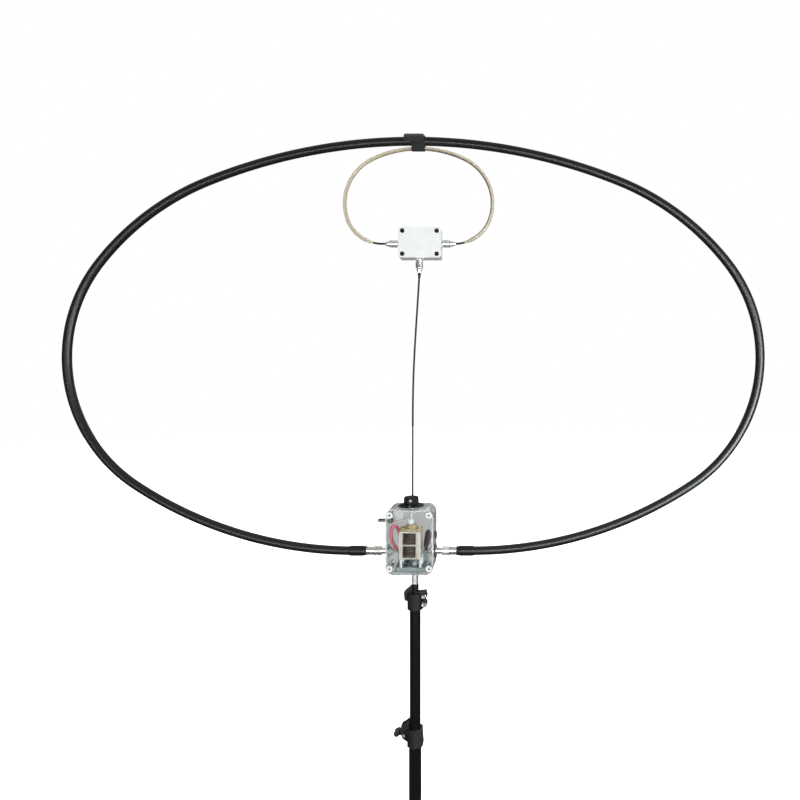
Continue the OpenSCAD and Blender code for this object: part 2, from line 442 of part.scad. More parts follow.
mast_lower_tube();
mast_upper_tube();
mast_collar();
collar_lever();
lever_pin();
mast_head();
head_bolts();
head_nuts();
adapter_stud();
adapter_nut();
base_plate();
plate_bolts();
capacitor_standoffs();
enclosure_base();
enclosure_lid();
lid_gasket();
lid_screws();
capacitor_frame();
stator_upper();
stator_lower();
stator_insulators();
capacitor_rotor();
drive_balls();
drive_body();
drive_screws();
drive_input();
shaft_coupler();
knob_shaft();
shaft_bush();
tuning_knob();
knob_set_screw();
loop_jacks();
jack_gaskets();
jack_nuts();
loop_plugs();
loop_nut_left();
loop_nut_right();
loop_cable();
loop_sleeves();
loop_strap();
coupling_cable();
coupling_tails();
coupling_jacks();
coupling_plugs();
feed_plug();
coupling_ring_left();
coupling_ring_right();
feed_ring();
coupling_box_body();
coupling_box_lid();
coupling_box_screws();
balun_core();
balun_winding();
feed_lead();
lead_grommet();
rf_jack();
red_lead();
black_lead();
side_plug();
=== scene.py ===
import math
import random
import bpy
import bmesh
from mathutils import Matrix, Vector, noise as mnoise
from math import cos, pi, radians, sin, sqrt


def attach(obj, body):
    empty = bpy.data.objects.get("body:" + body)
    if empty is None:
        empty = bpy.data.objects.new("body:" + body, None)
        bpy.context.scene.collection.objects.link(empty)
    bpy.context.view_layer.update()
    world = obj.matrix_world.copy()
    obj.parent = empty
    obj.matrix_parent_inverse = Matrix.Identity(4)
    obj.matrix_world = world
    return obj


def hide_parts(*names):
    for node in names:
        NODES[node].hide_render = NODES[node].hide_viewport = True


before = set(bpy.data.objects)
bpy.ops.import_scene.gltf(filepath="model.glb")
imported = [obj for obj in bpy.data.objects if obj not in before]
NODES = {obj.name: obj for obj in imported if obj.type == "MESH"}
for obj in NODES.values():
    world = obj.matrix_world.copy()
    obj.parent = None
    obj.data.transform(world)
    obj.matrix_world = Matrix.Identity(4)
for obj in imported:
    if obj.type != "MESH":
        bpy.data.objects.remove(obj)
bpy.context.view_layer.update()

# A magnetic loop antenna: stiff black loop cable, clear tuning box, coupling loop and telescopic mast.
# Metres, +Z up, +X to the right seen from the front, +Y to the back.
sc = bpy.context.scene
MM = 0.001
ENV_FRONT, ENV_BACK, ENV_TOP = 0.18, 0.38, 0.85
SEEN = 0.3
ENV_GLINT = 0.55

# ------------------------------------------------------------------ camera
cam = bpy.data.cameras.new("camera")
cam_o = bpy.data.objects.new("camera", cam)
sc.collection.objects.link(cam_o)
cam_o.location = (0.16, -1.05, 0.8585)
cam_o.rotation_euler = (pi / 2, 0, 0)
cam.sensor_width = 36
cam.lens = 26.7
cam.shift_x = -0.132
cam.shift_y = -0.031
cam.clip_start = 0.01
cam.clip_end = 80
cam.dof.use_dof = False
sc.camera = cam_o
sc.view_settings.view_transform = "Standard"
sc.view_settings.look = "None"


# ------------------------------------------------------------------ material helpers
class Mat:
    """A principled material with short calls for its texture nodes. Sizes are in metres."""

    def __init__(self, name):
        self.m = bpy.data.materials.new(name)
        self.m.use_nodes = True
        self.nt = self.m.node_tree
        self.nt.nodes.clear()
        self.out = self.nt.nodes.new("ShaderNodeOutputMaterial")
        self.p = self.nt.nodes.new("ShaderNodeBsdfPrincipled")
        self.nt.links.new(self.p.outputs[0], self.out.inputs[0])
        self._tc = None

    def node(self, kind, **props):
        n = self.nt.nodes.new(kind)
        for k, v in props.items():
            setattr(n, k, v)
        return n

    def put(self, socket, value):
        if isinstance(value, bpy.types.NodeSocket):
            self.nt.links.new(value, socket)
        else:
            socket.default_value = value

    def set(self, **values):
        for k, v in values.items():
            name = k.replace("_", " ")
            for s in self.p.inputs:
                if s.name.lower() == name.lower():
                    if s.type == "RGBA" and not isinstance(v, bpy.types.NodeSocket) and len(v) == 3:
                        v = (*v, 1)
                    self.put(s, v)
                    break
            else:
                raise KeyError(k)
        return self

    def co(self, scale=(1, 1, 1), kind="Object"):
        if self._tc is None:
            self._tc = self.node("ShaderNodeTexCoord")
        if tuple(scale) == (1, 1, 1):
            return self._tc.outputs[kind]
        mp = self.node("ShaderNodeMapping")
        self.put(mp.inputs["Vector"], self._tc.outputs[kind])
        mp.inputs["Scale"].default_value = scale
        return mp.outputs[0]

    def noise(self, scale, detail=3, rough=0.55, vec=None, distort=0.0):
        n = self.node("ShaderNodeTexNoise")
        self.put(n.inputs["Vector"], self.co() if vec is None else vec)
        n.inputs["Scale"].default_value = scale
        n.inputs["Detail"].default_value = detail
        n.inputs["Roughness"].default_value = rough
        n.inputs["Distortion"].default_value = distort
        return n.outputs[0]

    def voronoi(self, scale, vec=None, feature="F1", out="Distance", rand=1.0):
        n = self.node("ShaderNodeTexVoronoi", feature=feature)
        self.put(n.inputs["Vector"], self.co() if vec is None else vec)
        n.inputs["Scale"].default_value = scale
        n.inputs["Randomness"].default_value = rand
        return n.outputs[out]

    def wave(self, scale, vec=None, direction="X", distort=0.0, kind="BANDS", profile="SIN"):
        n = self.node("ShaderNodeTexWave", wave_type=kind, wave_profile=profile)
        if kind == "BANDS":
            n.bands_direction = direction
        else:
            n.rings_direction = direction
        self.put(n.inputs["Vector"], self.co() if vec is None else vec)
        n.inputs["Scale"].default_value = scale
        n.inputs["Distortion"].default_value = distort
        return n.outputs["Fac"]

    def math(self, op, a, b=0.0, clamp=False):
        n = self.node("ShaderNodeMath", operation=op, use_clamp=clamp)
        self.put(n.inputs[0], a)
        self.put(n.inputs[1], b)
        return n.outputs[0]

    def rng(self, fac, a, b, lo=0.0, hi=1.0):
        n = self.node("ShaderNodeMapRange")
        self.put(n.inputs["Value"], fac)
        n.inputs["From Min"].default_value = lo
        n.inputs["From Max"].default_value = hi
        n.inputs["To Min"].default_value = a
        n.inputs["To Max"].default_value = b
        return n.outputs[0]

    def ramp(self, fac, stops):
        n = self.node("ShaderNodeValToRGB")
        self.put(n.inputs[0], fac)
        e = n.color_ramp.elements
        while len(e) < len(stops):
            e.new(0.5)
        for el, (pos, c) in zip(e, stops):
            el.position = pos
            el.color = (*c, 1) if len(c) == 3 else c
        return n.outputs[0]

    def mix(self, fac, a, b, mode="MIX"):
        n = self.node("ShaderNodeMix", data_type="RGBA", blend_type=mode)
        self.put(n.inputs[0], fac)
        for s, v in ((n.inputs[6], a), (n.inputs[7], b)):
            if not isinstance(v, bpy.types.NodeSocket) and len(v) == 3:
                v = (*v, 1)
            self.put(s, v)
        return n.outputs[2]

    def bump(self, *layers):
        """layers of (height socket, strength, distance in metres), chained"""
        last = None
        for h, strength, dist in layers:
            b = self.node("ShaderNodeBump")
            b.inputs["Strength"].default_value = strength
            b.inputs["Distance"].default_value = dist
            self.put(b.inputs["Height"], h)
            if last is not None:
                self.put(b.inputs["Normal"], last)
            last = b.outputs[0]
        self.put(self.p.inputs["Normal"], last)
        return self

    def groove_shade(self):
        """a mask that is 1 in grooves and inner corners, used to paint shade there"""
        g = self.node("ShaderNodeNewGeometry")
        return self.rng(g.outputs["Pointiness"], 1, 0, 0.43, 0.49)

    def edge(self):
        """a mask that is 1 on outward edges, used to paint a lighter edge highlight"""
        g = self.node("ShaderNodeNewGeometry")
        return self.rng(g.outputs["Pointiness"], 0, 1, 0.51, 0.6)


def make_materials():
    K = {}

    # loop cable jacket: extruded black polyethylene, scuffed, with fine lengthwise die lines
    m = Mat("black_jacket")
    broad = m.noise(9, 3)
    fine = m.noise(900, 2)
    lines = m.noise(1.0, 2, vec=m.co((12, 2600, 1), "UV"))
    scuff = m.math("GREATER_THAN", m.noise(1.0, 4, 0.7, vec=m.co((300, 900, 1), "UV")), 0.66)
    base = m.ramp(broad, [(0.3, (0.0016, 0.0024, 0.0018)), (0.7, (0.0036, 0.005, 0.004))])
    m.set(base_color=m.mix(m.math("MULTIPLY", scuff, 0.4), base, (0.014, 0.017, 0.015)),
          roughness=m.math("ADD", m.rng(broad, 0.35, 0.42), m.math("MULTIPLY", scuff, 0.08)), specular_ior_level=0.36)
    m.bump((lines, 0.05, 0.00003), (fine, 0.05, 0.00003))
    K["black_jacket"] = m.m

    # thin dark coax
    m = Mat("lead_jacket")
    broad = m.noise(60, 3)
    m.set(base_color=m.ramp(broad, [(0.3, (0.014, 0.016, 0.016)), (0.7, (0.026, 0.028, 0.028))]), roughness=m.rng(m.noise(700, 2), 0.5, 0.65), specular_ior_level=0.14)
    m.bump((m.noise(1.0, 2, vec=m.co((60, 3000, 1), "UV")), 0.3, 0.00003))
    K["lead_jacket"] = m.m

    # heat-shrink sleeve
    m = Mat("black_shrink")
    w = m.noise(260, 3, 0.5, vec=m.co((1, 0.35, 0.35)))
    m.set(base_color=m.ramp(m.noise(150, 3), [(0.3, (0.0022, 0.003, 0.0025)), (0.75, (0.0055, 0.0068, 0.006))]), roughness=m.rng(w, 0.32, 0.45), specular_ior_level=0.28)
    m.bump((w, 0.25, 0.0002), (m.noise(2200, 2), 0.15, 0.00003))
    K["black_shrink"] = m.m

    # moulded glass-filled nylon
    m = Mat("black_plastic")
    grain = m.voronoi(1500)
    # painted highlight: outward edges are lightened to a grey-green
    m.set(base_color=m.mix(m.edge(), m.ramp(m.noise(120, 4), [(0.3, (0.0018, 0.0026, 0.002)), (0.75, (0.0045, 0.0058, 0.0048))]), (0.05, 0.058, 0.052)),
          roughness=m.rng(m.noise(400, 3), 0.31, 0.43), specular_ior_level=0.17)
    m.bump((grain, 0.22, 0.00008), (m.noise(90, 2), 0.08, 0.0003))
    K["black_plastic"] = m.m

    # knob: smooth phenolic
    m = Mat("knob_plastic")
    # painted highlight: outward edges of the knob are lightened
    m.set(base_color=m.mix(m.edge(), m.ramp(m.noise(160, 3), [(0.3, (0.003, 0.0033, 0.0032)), (0.75, (0.007, 0.0075, 0.0073))]), (0.03, 0.03, 0.03)),
          roughness=m.rng(m.noise(350, 4), 0.46, 0.62), specular_ior_level=0.09)
    m.bump((m.noise(900, 3), 0.1, 0.00005))
    K["knob_plastic"] = m.m

    # powder-coated and handled mast tube
    m = Mat("black_paint")
    peel = m.noise(520, 2)
    rub = m.noise(1.0, 4, 0.65, vec=m.co((420, 420, 6)))
    m.set(base_color=m.mix(m.math("MULTIPLY", m.math("GREATER_THAN", rub, 0.64), 0.6), m.ramp(m.noise(30, 3), [(0.3, (0.0018, 0.0025, 0.002)), (0.7, (0.0038, 0.0048, 0.004))]), (0.014, 0.017, 0.015)),
          roughness=m.math("ADD", m.rng(peel, 0.27, 0.38), m.math("MULTIPLY", rub, 0.06)), specular_ior_level=0.16)
    m.bump((peel, 0.12, 0.0001))
    K["black_paint"] = m.m

    # soft sealing rubber
    m = Mat("black_rubber")
    m.set(base_color=m.ramp(m.noise(220, 4), [(0.3, (0.009, 0.009, 0.009)), (0.8, (0.022, 0.022, 0.021))]), roughness=m.rng(m.noise(500, 2), 0.6, 0.8))
    m.bump((m.noise(1800, 2), 0.3, 0.00006))
    K["black_rubber"] = m.m

    # hook-and-loop strap: looped pile on the face, woven back
    m = Mat("strap_pile")
    pile = m.voronoi(1500, vec=m.co((1, 1, 1), "UV"))
    tuft = m.noise(420, 4, 0.7, vec=m.co((1, 1, 1), "UV"))
    m.set(base_color=m.ramp(m.math("ADD", m.math("MULTIPLY", pile, 0.6), m.math("MULTIPLY", tuft, 0.5)), [(0.2, (0.004, 0.0042, 0.004)), (0.85, (0.022, 0.023, 0.022))]),
          roughness=m.rng(tuft, 0.82, 0.97), specular_ior_level=0.25, sheen_weight=0.25, sheen_roughness=0.5)
    m.bump((pile, 0.8, 0.0004), (tuft, 0.6, 0.0005))
    K["strap_pile"] = m.m
    m = Mat("strap_edge")
    wx = m.wave(420, vec=m.co((1, 1, 1), "UV"), direction="X")
    wy = m.wave(420, vec=m.co((1, 1, 1), "UV"), direction="Y")
    weave = m.math("MULTIPLY", wx, wy)
    m.set(base_color=m.ramp(weave, [(0.1, (0.004, 0.0042, 0.004)), (0.8, (0.018, 0.019, 0.018))]), roughness=m.rng(weave, 0.7, 0.9), sheen_weight=0.15)
    m.bump((weave, 0.7, 0.0003))
    K["strap_edge"] = m.m

    # metals
    def metal(name, lo, hi, r0, r1, grain=(900, 900, 900), tarnish=None, bump=0.08, groove_shade=None):
        m = Mat(name)
        cloud = m.noise(110, 4, 0.6)
        g = m.noise(1.0, 3, 0.6, vec=m.co(grain))
        col = m.ramp(cloud, [(0.3, lo), (0.72, hi)])
        if tarnish:
            col = m.mix(m.rng(m.noise(260, 5, 0.7), 0, 0.75, 0.52, 0.75), col, tarnish)
        # painted shade: where a groove colour is given, the colour darkens towards it in grooves and inner corners
        if groove_shade:
            col = m.mix(m.math("MULTIPLY", m.groove_shade(), 0.8), col, groove_shade)
        m.set(base_color=col, metallic=1.0, roughness=m.math("ADD", m.rng(cloud, r0, r1), m.math("MULTIPLY", g, 0.1)))
        m.bump((g, bump, 0.00006))
        K[name] = m.m

    # the last colour given to dull_nickel, bright_nickel, nickel and steel is their painted shade in grooves and inner
    # corners
    metal("dull_nickel", (0.16, 0.155, 0.14), (0.32, 0.31, 0.28), 0.16, 0.3, (160, 1600, 1600), (0.12, 0.11, 0.09), 0.08, (0.03, 0.03, 0.028))
    # bright_nickel is a lighter copy of nickel; on the right loop nut it paints stronger light than on the left nut
    metal("bright_nickel", (0.84, 0.84, 0.82), (0.95, 0.95, 0.93), 0.2, 0.32, (160, 1600, 1600), None, 0.06, (0.2, 0.19, 0.17))
    metal("nickel", (0.6, 0.59, 0.55), (0.76, 0.75, 0.71), 0.16, 0.28, (160, 1600, 1600), (0.5, 0.47, 0.4), 0.08, (0.16, 0.15, 0.13))
    metal("steel", (0.66, 0.66, 0.66), (0.82, 0.82, 0.82), 0.22, 0.36, (500, 500, 1800), None, 0.08, (0.18, 0.18, 0.17))
    metal("dark_steel", (0.02, 0.021, 0.022), (0.045, 0.046, 0.048), 0.26, 0.4, (900, 900, 900), (0.05, 0.045, 0.04))
    metal("aluminium", (0.62, 0.64, 0.65), (0.76, 0.78, 0.79), 0.42, 0.56, (1500, 60, 400), None, 0.16)
    metal("grey_plate", (0.24, 0.27, 0.275), (0.36, 0.39, 0.395), 0.46, 0.62, (1500, 60, 400), None, 0.2)
    metal("brass", (0.5, 0.38, 0.19), (0.74, 0.62, 0.38), 0.16, 0.32, (1200, 1200, 300), (0.3, 0.2, 0.1))
    metal("plate_metal", (0.2, 0.13, 0.1), (0.36, 0.26, 0.2), 0.3, 0.5, (60, 1200, 800), (0.12, 0.07, 0.055))

    # enamelled winding wire
    m = Mat("copper")
    m.set(base_color=m.ramp(m.noise(300, 3), [(0.3, (0.5, 0.17, 0.06)), (0.7, (0.72, 0.29, 0.11))]), metallic=0.9, roughness=m.rng(m.noise(900, 2), 0.18, 0.32), coat_weight=0.6)
    K["copper"] = m.m

    # cream passivated capacitor frame
    m = Mat("cream_frame")
    stain = m.noise(240, 5, 0.65)
    # painted highlight: outward edges of the frame are lightened
    m.set(base_color=m.mix(m.edge(), m.ramp(stain, [(0.3, (0.4, 0.34, 0.27)), (0.6, (0.52, 0.46, 0.38)), (0.8, (0.57, 0.52, 0.45))]), (0.72, 0.68, 0.61)),
          roughness=m.rng(stain, 0.36, 0.55), metallic=0.15)
    m.bump((m.noise(1300, 3), 0.16, 0.00006))
    K["cream_frame"] = m.m

    # glazed ceramic
    m = Mat("ceramic")
    m.set(base_color=m.ramp(m.noise(600, 4), [(0.3, (0.74, 0.72, 0.68)), (0.7, (0.86, 0.85, 0.82))]), roughness=m.rng(m.noise(260, 2), 0.16, 0.3), coat_weight=0.4)
    m.bump((m.noise(400, 2), 0.08, 0.0001))
    K["ceramic"] = m.m

    # nylon screws and coupler
    m = Mat("nylon")
    m.set(base_color=m.ramp(m.noise(500, 4), [(0.3, (0.74, 0.74, 0.72)), (0.7, (0.88, 0.88, 0.86))]), roughness=m.rng(m.noise(700, 3), 0.34, 0.5), subsurface_weight=0.15, subsurface_radius=(0.001, 0.001, 0.001))
    m.bump((m.noise(1500, 2), 0.1, 0.00005))
    K["nylon"] = m.m

    # lid screws: the same nylon, with painted shade in the cross recess
    m = Mat("nylon_screw")
    sx = m.node("ShaderNodeSeparateXYZ")
    m.put(sx.inputs[0], m.co())
    dx = m.math("SUBTRACT", m.math("ABSOLUTE", m.math("SUBTRACT", sx.outputs[0], -0.006)), 0.034)
    dz = m.math("SUBTRACT", m.math("ABSOLUTE", m.math("SUBTRACT", sx.outputs[2], 0.571)), 0.046)
    rad = m.math("SQRT", m.math("ADD", m.math("MULTIPLY", dx, dx), m.math("MULTIPLY", dz, dz)))
    # painted shade: the colour goes near black inside the cross recess of each screw head
    painted_recess_shade = m.math("MULTIPLY", m.rng(sx.outputs[1], 0, 1, -0.0297, -0.0291), m.math("LESS_THAN", rad, 0.0045))
    m.set(base_color=m.mix(painted_recess_shade, m.ramp(m.noise(500, 4), [(0.3, (0.8, 0.8, 0.79)), (0.7, (0.9, 0.9, 0.89))]), (0.06, 0.065, 0.065)), roughness=m.rng(m.noise(700, 3), 0.34, 0.5))
    m.bump((m.noise(1500, 2), 0.1, 0.00005))
    K["nylon_screw"] = m.m

    # white spark-textured ABS
    m = Mat("white_plastic")
    tex = m.noise(2600, 2)
    # painted highlight: outward edges are lightened towards white
    m.set(base_color=m.mix(m.edge(), m.ramp(m.noise(45, 4), [(0.3, (0.79, 0.825, 0.815)), (0.7, (0.85, 0.88, 0.87))]), (0.9, 0.91, 0.91)), roughness=m.rng(m.noise(300, 3), 0.36, 0.5))
    m.bump((tex, 0.25, 0.00006), (m.noise(40, 2), 0.05, 0.0004))
    K["white_plastic"] = m.m

    # grey silicone gasket
    m = Mat("grey_silicone")
    m.set(base_color=m.ramp(m.noise(500, 3), [(0.3, (0.5, 0.5, 0.49)), (0.7, (0.64, 0.64, 0.63))]), roughness=m.rng(m.noise(900, 2), 0.55, 0.7))
    K["grey_silicone"] = m.m

    # red silicone hook-up wire
    m = Mat("red_insulation")
    m.set(base_color=m.ramp(m.noise(260, 3), [(0.3, (0.62, 0.1, 0.15)), (0.7, (0.74, 0.17, 0.23))]), roughness=m.rng(m.noise(800, 2), 0.36, 0.52), subsurface_weight=0.1, subsurface_radius=(0.002, 0.0005, 0.0005))
    m.bump((m.noise(1400, 2), 0.12, 0.00005))
    K["red_insulation"] = m.m

    # dark brown hook-up wire
    m = Mat("brown_insulation")
    m.set(base_color=m.ramp(m.noise(260, 3), [(0.3, (0.028, 0.015, 0.016)), (0.7, (0.055, 0.03, 0.03))]), roughness=m.rng(m.noise(800, 2), 0.36, 0.52))
    m.bump((m.noise(1400, 2), 0.12, 0.00005))
    K["brown_insulation"] = m.m

    # sintered ferrite
    m = Mat("ferrite")
    m.set(base_color=m.ramp(m.voronoi(1400), [(0.1, (0.035, 0.035, 0.037)), (0.8, (0.075, 0.075, 0.078))]), roughness=m.rng(m.noise(500, 3), 0.55, 0.75))
    m.bump((m.noise(1600, 3), 0.3, 0.0001))
    K["ferrite"] = m.m

    # tan translucent tube, and the pale line seen inside it
    m = Mat("tan_jacket")
    cloud = m.noise(22, 3)
    streak = m.noise(1.0, 3, 0.6, vec=m.co((40, 600, 1), "UV"))
    tan = m.mix(m.rng(streak, 0.0, 0.25), m.ramp(cloud, [(0.3, (0.79, 0.7, 0.5)), (0.7, (0.88, 0.81, 0.62))]), (0.62, 0.52, 0.33))
    # painted shade and painted highlight: a dark line is painted along the inner flank of the bend, stronger towards
    # +X, and a pale line along the outer flank
    inward = m.node("ShaderNodeVectorMath")
    inward.operation = "SUBTRACT"
    inward.inputs[0].default_value = (0.004, 0.0, 1.165)
    m.put(inward.inputs[1], m.co())
    unit = m.node("ShaderNodeVectorMath")
    unit.operation = "NORMALIZE"
    m.put(unit.inputs[0], inward.outputs[0])
    own = m.node("ShaderNodeTexCoord")
    side = m.node("ShaderNodeVectorMath")
    side.operation = "DOT_PRODUCT"
    m.put(side.inputs[0], own.outputs["Normal"])
    m.put(side.inputs[1], unit.outputs[0])
    across = m.node("ShaderNodeSeparateXYZ")
    m.put(across.inputs[0], m.co())
    # painted shade: the dark line on the inner flank of the bend
    painted_edge_shade = m.math("MULTIPLY", m.rng(side.outputs["Value"], 0, 1, 0.12, 0.5), m.rng(across.outputs[0], 0.3, 0.9, -0.06, 0.05))
    # painted highlight: the pale line on the outer flank of the bend
    painted_highlight_line = m.math("MULTIPLY", m.rng(side.outputs["Value"], 0, 1, -0.15, -0.4), m.rng(side.outputs["Value"], 1, 0, -0.65, -0.9))
    tan = m.mix(m.math("MULTIPLY", painted_highlight_line, 0.6), tan, (0.93, 0.91, 0.85))
    m.set(base_color=m.mix(painted_edge_shade, tan, (0.16, 0.125, 0.07)),
          transmission_weight=0.4, ior=1.36, roughness=m.rng(streak, 0.3, 0.38), specular_ior_level=0.4)
    m.bump((m.noise(60, 2), 0.04, 0.0003))
    K["tan_jacket"] = m.m
    m = Mat("pale_core")
    m.set(base_color=m.ramp(m.noise(90, 3), [(0.3, (0.74, 0.7, 0.58)), (0.7, (0.86, 0.83, 0.73))]), roughness=m.rng(m.noise(500, 2), 0.35, 0.5))
    m.bump((m.noise(1.0, 2, vec=m.co((500, 500, 1), "UV")), 0.15, 0.00006))
    K["pale_core"] = m.m

    # white index paint
    m = Mat("index_paint")
    m.set(base_color=m.ramp(m.noise(900, 3), [(0.3, (0.72, 0.72, 0.7)), (0.7, (0.88, 0.88, 0.86))]), roughness=m.rng(m.noise(700, 2), 0.4, 0.6))
    K["index_paint"] = m.m

    # solder
    m = Mat("solder")
    m.set(base_color=m.ramp(m.noise(700, 4), [(0.3, (0.45, 0.45, 0.44)), (0.7, (0.7, 0.7, 0.69))]), metallic=1.0, roughness=m.rng(m.noise(500, 3), 0.2, 0.42))
    m.bump((m.noise(900, 3), 0.2, 0.0001))
    K["solder"] = m.m

    # clear polycarbonate: glass for sight, open to lamps so that the inside is lit
    m = Mat("clear_plastic")
    scr = m.noise(1.0, 4, 0.6, vec=m.co((900, 900, 60), "Object"))
    m.set(base_color=m.ramp(m.noise(14, 3), [(0.3, (0.74, 0.758, 0.758)), (0.7, (0.82, 0.833, 0.833))]), transmission_weight=1.0, ior=1.3, roughness=m.rng(scr, 0.05, 0.09), specular_ior_level=0.6)
    m.bump((m.noise(26, 2), 0.1, 0.0006))
    tr = m.node("ShaderNodeBsdfTransparent")
    tr.inputs[0].default_value = (0.94, 0.96, 0.965, 1)
    lp = m.node("ShaderNodeLightPath")
    mx = m.node("ShaderNodeMixShader")
    m.put(mx.inputs[0], lp.outputs["Is Shadow Ray"])
    m.put(mx.inputs[1], m.p.outputs[0])
    m.put(mx.inputs[2], tr.outputs[0])
    m.put(m.out.inputs[0], mx.outputs[0])
    K["clear_plastic"] = m.m
    return K


K = make_materials()


# ------------------------------------------------------------------ mesh helpers
def finish_mesh(name, verts, faces, mats, uv=None, smooth=True, face_mat=None):
    me = bpy.data.meshes.new(name)
    me.from_pydata([tuple(v) for v in verts], [], faces)
    if uv is not None:
        lay = me.uv_layers.new(name="UVMap")
        flat = []
        for f, u in zip(faces, uv):
            for c in u:
                flat.extend(c)
        lay.data.foreach_set("uv", flat)
    for mt in (mats if isinstance(mats, (list, tuple)) else [mats]):
        me.materials.append(mt)
    me.polygons.foreach_set("use_smooth", [smooth] * len(me.polygons))
    if face_mat:
        me.polygons.foreach_set("material_index", face_mat)
    me.validate()
    me.update()
    o = bpy.data.objects.new(name, me)
    sc.collection.objects.link(o)
    return o


def done(o, body, slot, *replaced):
    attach(o, body)
    if replaced:
        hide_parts(*replaced)
    return o


def resample(pts, step):
    """points (mm Vectors) at even steps along a polyline, with its length"""
    acc = [0.0]
    for a, b in zip(pts, pts[1:]):
        acc.append(acc[-1] + (b - a).length)
    total = acc[-1]
    n = max(2, int(round(total / step)))
    out, j = [], 0
    for i in range(n + 1):
        s = total * i / n
        while j < len(acc) - 2 and acc[j + 1] < s:
            j += 1
        t = (s - acc[j]) / max(1e-9, acc[j + 1] - acc[j])
        out.append(pts[j].lerp(pts[j + 1], t))
    return out, total


def tube(name, pts, radius, segs, mat, wall=None):
    """a round tube along pts (mm); radius(s, a) or a number, in mm; UV in metres along and around"""
    n = len(pts)
    tang = []
    for i in range(n):
        a, b = pts[max(0, i - 1)], pts[min(n - 1, i + 1)]
        tang.append((b - a).normalized())
    side = tang[0].cross(Vector((0, 1, 0)))
    if side.length < 0.1:
        side = tang[0].cross(Vector((1, 0, 0)))
    side.normalize()
    verts, s = [], 0.0
    ss = []
    for i in range(n):
        if i:
            s += (pts[i] - pts[i - 1]).length
        ss.append(s)
        side = (side - tang[i] * side.dot(tang[i])).normalized()
        up = tang[i].cross(side)
        for j in range(segs):
            a = 2 * pi * j / segs
            r = radius(s, a) if callable(radius) else radius
            verts.append((pts[i] + r * (cos(a) * side + sin(a) * up)) * MM)
    faces, uv = [], []
    rr = radius(0, 0) if callable(radius) else radius
    circ = 2 * pi * rr * MM
    for i in range(n - 1):
        for j in range(segs):
            k = (j + 1) % segs
            faces.append((i * segs + j, i * segs + k, (i + 1) * segs + k, (i + 1) * segs + j))
            u0, u1 = ss[i] * MM, ss[i + 1] * MM
            v0, v1 = circ * j / segs, circ * (j + 1) / segs
            uv.append(((u0, v0), (u0, v1), (u1, v1), (u1, v0)))
    if wall is None:
        faces.append(tuple(range(segs - 1, -1, -1)))
        uv.append(tuple((0, 0) for _ in range(segs)))
        faces.append(tuple((n - 1) * segs + j for j in range(segs)))
        uv.append(tuple((0, 0) for _ in range(segs)))
    else:
        base, nf = len(verts), len(faces)
        side = tang[0].cross(Vector((0, 1, 0))).normalized()
        for i in range(n):
            side = (side - tang[i] * side.dot(tang[i])).normalized()
            up = tang[i].cross(side)
            for j in range(segs):
                a = 2 * pi * j / segs
                verts.append((pts[i] + wall * (cos(a) * side + sin(a) * up)) * MM)
        for f, u in zip(faces[:nf], uv[:nf]):
            faces.append(tuple(base + k for k in reversed(f)))
            uv.append(tuple(reversed(u)))
        for j in range(segs):
            k = (j + 1) % segs
            e = (n - 1) * segs
            faces.append((j, base + j, base + k, k))
            faces.append((e + k, base + e + k, base + e + j, e + j))
            uv.extend([((0, 0),) * 4] * 2)
    o = finish_mesh(name, verts, faces, mat, uv)
    bm = bmesh.new()
    bm.from_mesh(o.data)
    bmesh.ops.recalc_face_normals(bm, faces=bm.faces)
    bm.to_mesh(o.data)
    bm.free()
    for p in o.data.polygons:
        if p.loop_total > 4:
            p.use_smooth = False
    return o


def lathe(name, prof, segs, mat, place, mod=None):
    """revolves prof [(r, h)] in mm about local Z, then place (a Matrix in mm); mod(r, h, a) gives the radius"""
    verts, faces, uv = [], [], []
    n = len(prof)
    for i, (r, h) in enumerate(prof):
        for j in range(segs):
            a = 2 * pi * j / segs
            q = mod(r, h, a) if mod else r
            verts.append((place @ Vector((q * cos(a), q * sin(a), h))) * MM)
    acc = [0.0]
    for (r0, h0), (r1, h1) in zip(prof, prof[1:]):
        acc.append(acc[-1] + sqrt((r1 - r0) ** 2 + (h1 - h0) ** 2))
    for i in range(n - 1):
        for j in range(segs):
            k = (j + 1) % segs
            faces.append((i * segs + j, i * segs + k, (i + 1) * segs + k, (i + 1) * segs + j))
            c = 2 * pi * max(prof[i][0], 1) * MM
            uv.append(((acc[i] * MM, c * j / segs), (acc[i] * MM, c * (j + 1) / segs), (acc[i + 1] * MM, c * (j + 1) / segs), (acc[i + 1] * MM, c * j / segs)))
    o = finish_mesh(name, verts, faces, mat, uv)
    bm = bmesh.new()
    bm.from_mesh(o.data)
    bmesh.ops.remove_doubles(bm, verts=bm.verts, dist=1e-7)
    bmesh.ops.dissolve_degenerate(bm, edges=bm.edges, dist=1e-8)
    bmesh.ops.recalc_face_normals(bm, faces=bm.faces)
    bm.to_mesh(o.data)
    bm.free()
    return o


def smooth_prof(pts, r, k=4):
    """rounds the corners of an open profile with small arcs of about r (mm)"""
    out = [pts[0]]
    for a, b, c in zip(pts, pts[1:], pts[2:]):
        va, vb, vc = Vector(a), Vector(b), Vector(c)
        d1, d2 = (va - vb), (vc - vb)
        q = min(r, d1.length * 0.45, d2.length * 0.45)
        p0, p1 = vb + d1.normalized() * q, vb + d2.normalized() * q
        for i in range(k + 1):
            t = i / k
            p = p0 * (1 - t) ** 2 + vb * 2 * t * (1 - t) + p1 * t * t
            out.append((p.x, p.y))
    out.append(pts[-1])
    return out


def sharp_by_angle(o, deg=35):
    bm = bmesh.new()
    bm.from_mesh(o.data)
    for e in bm.edges:
        e.smooth = not (len(e.link_faces) == 2 and e.calc_face_angle(0) > radians(deg))
    bm.to_mesh(o.data)
    bm.free()


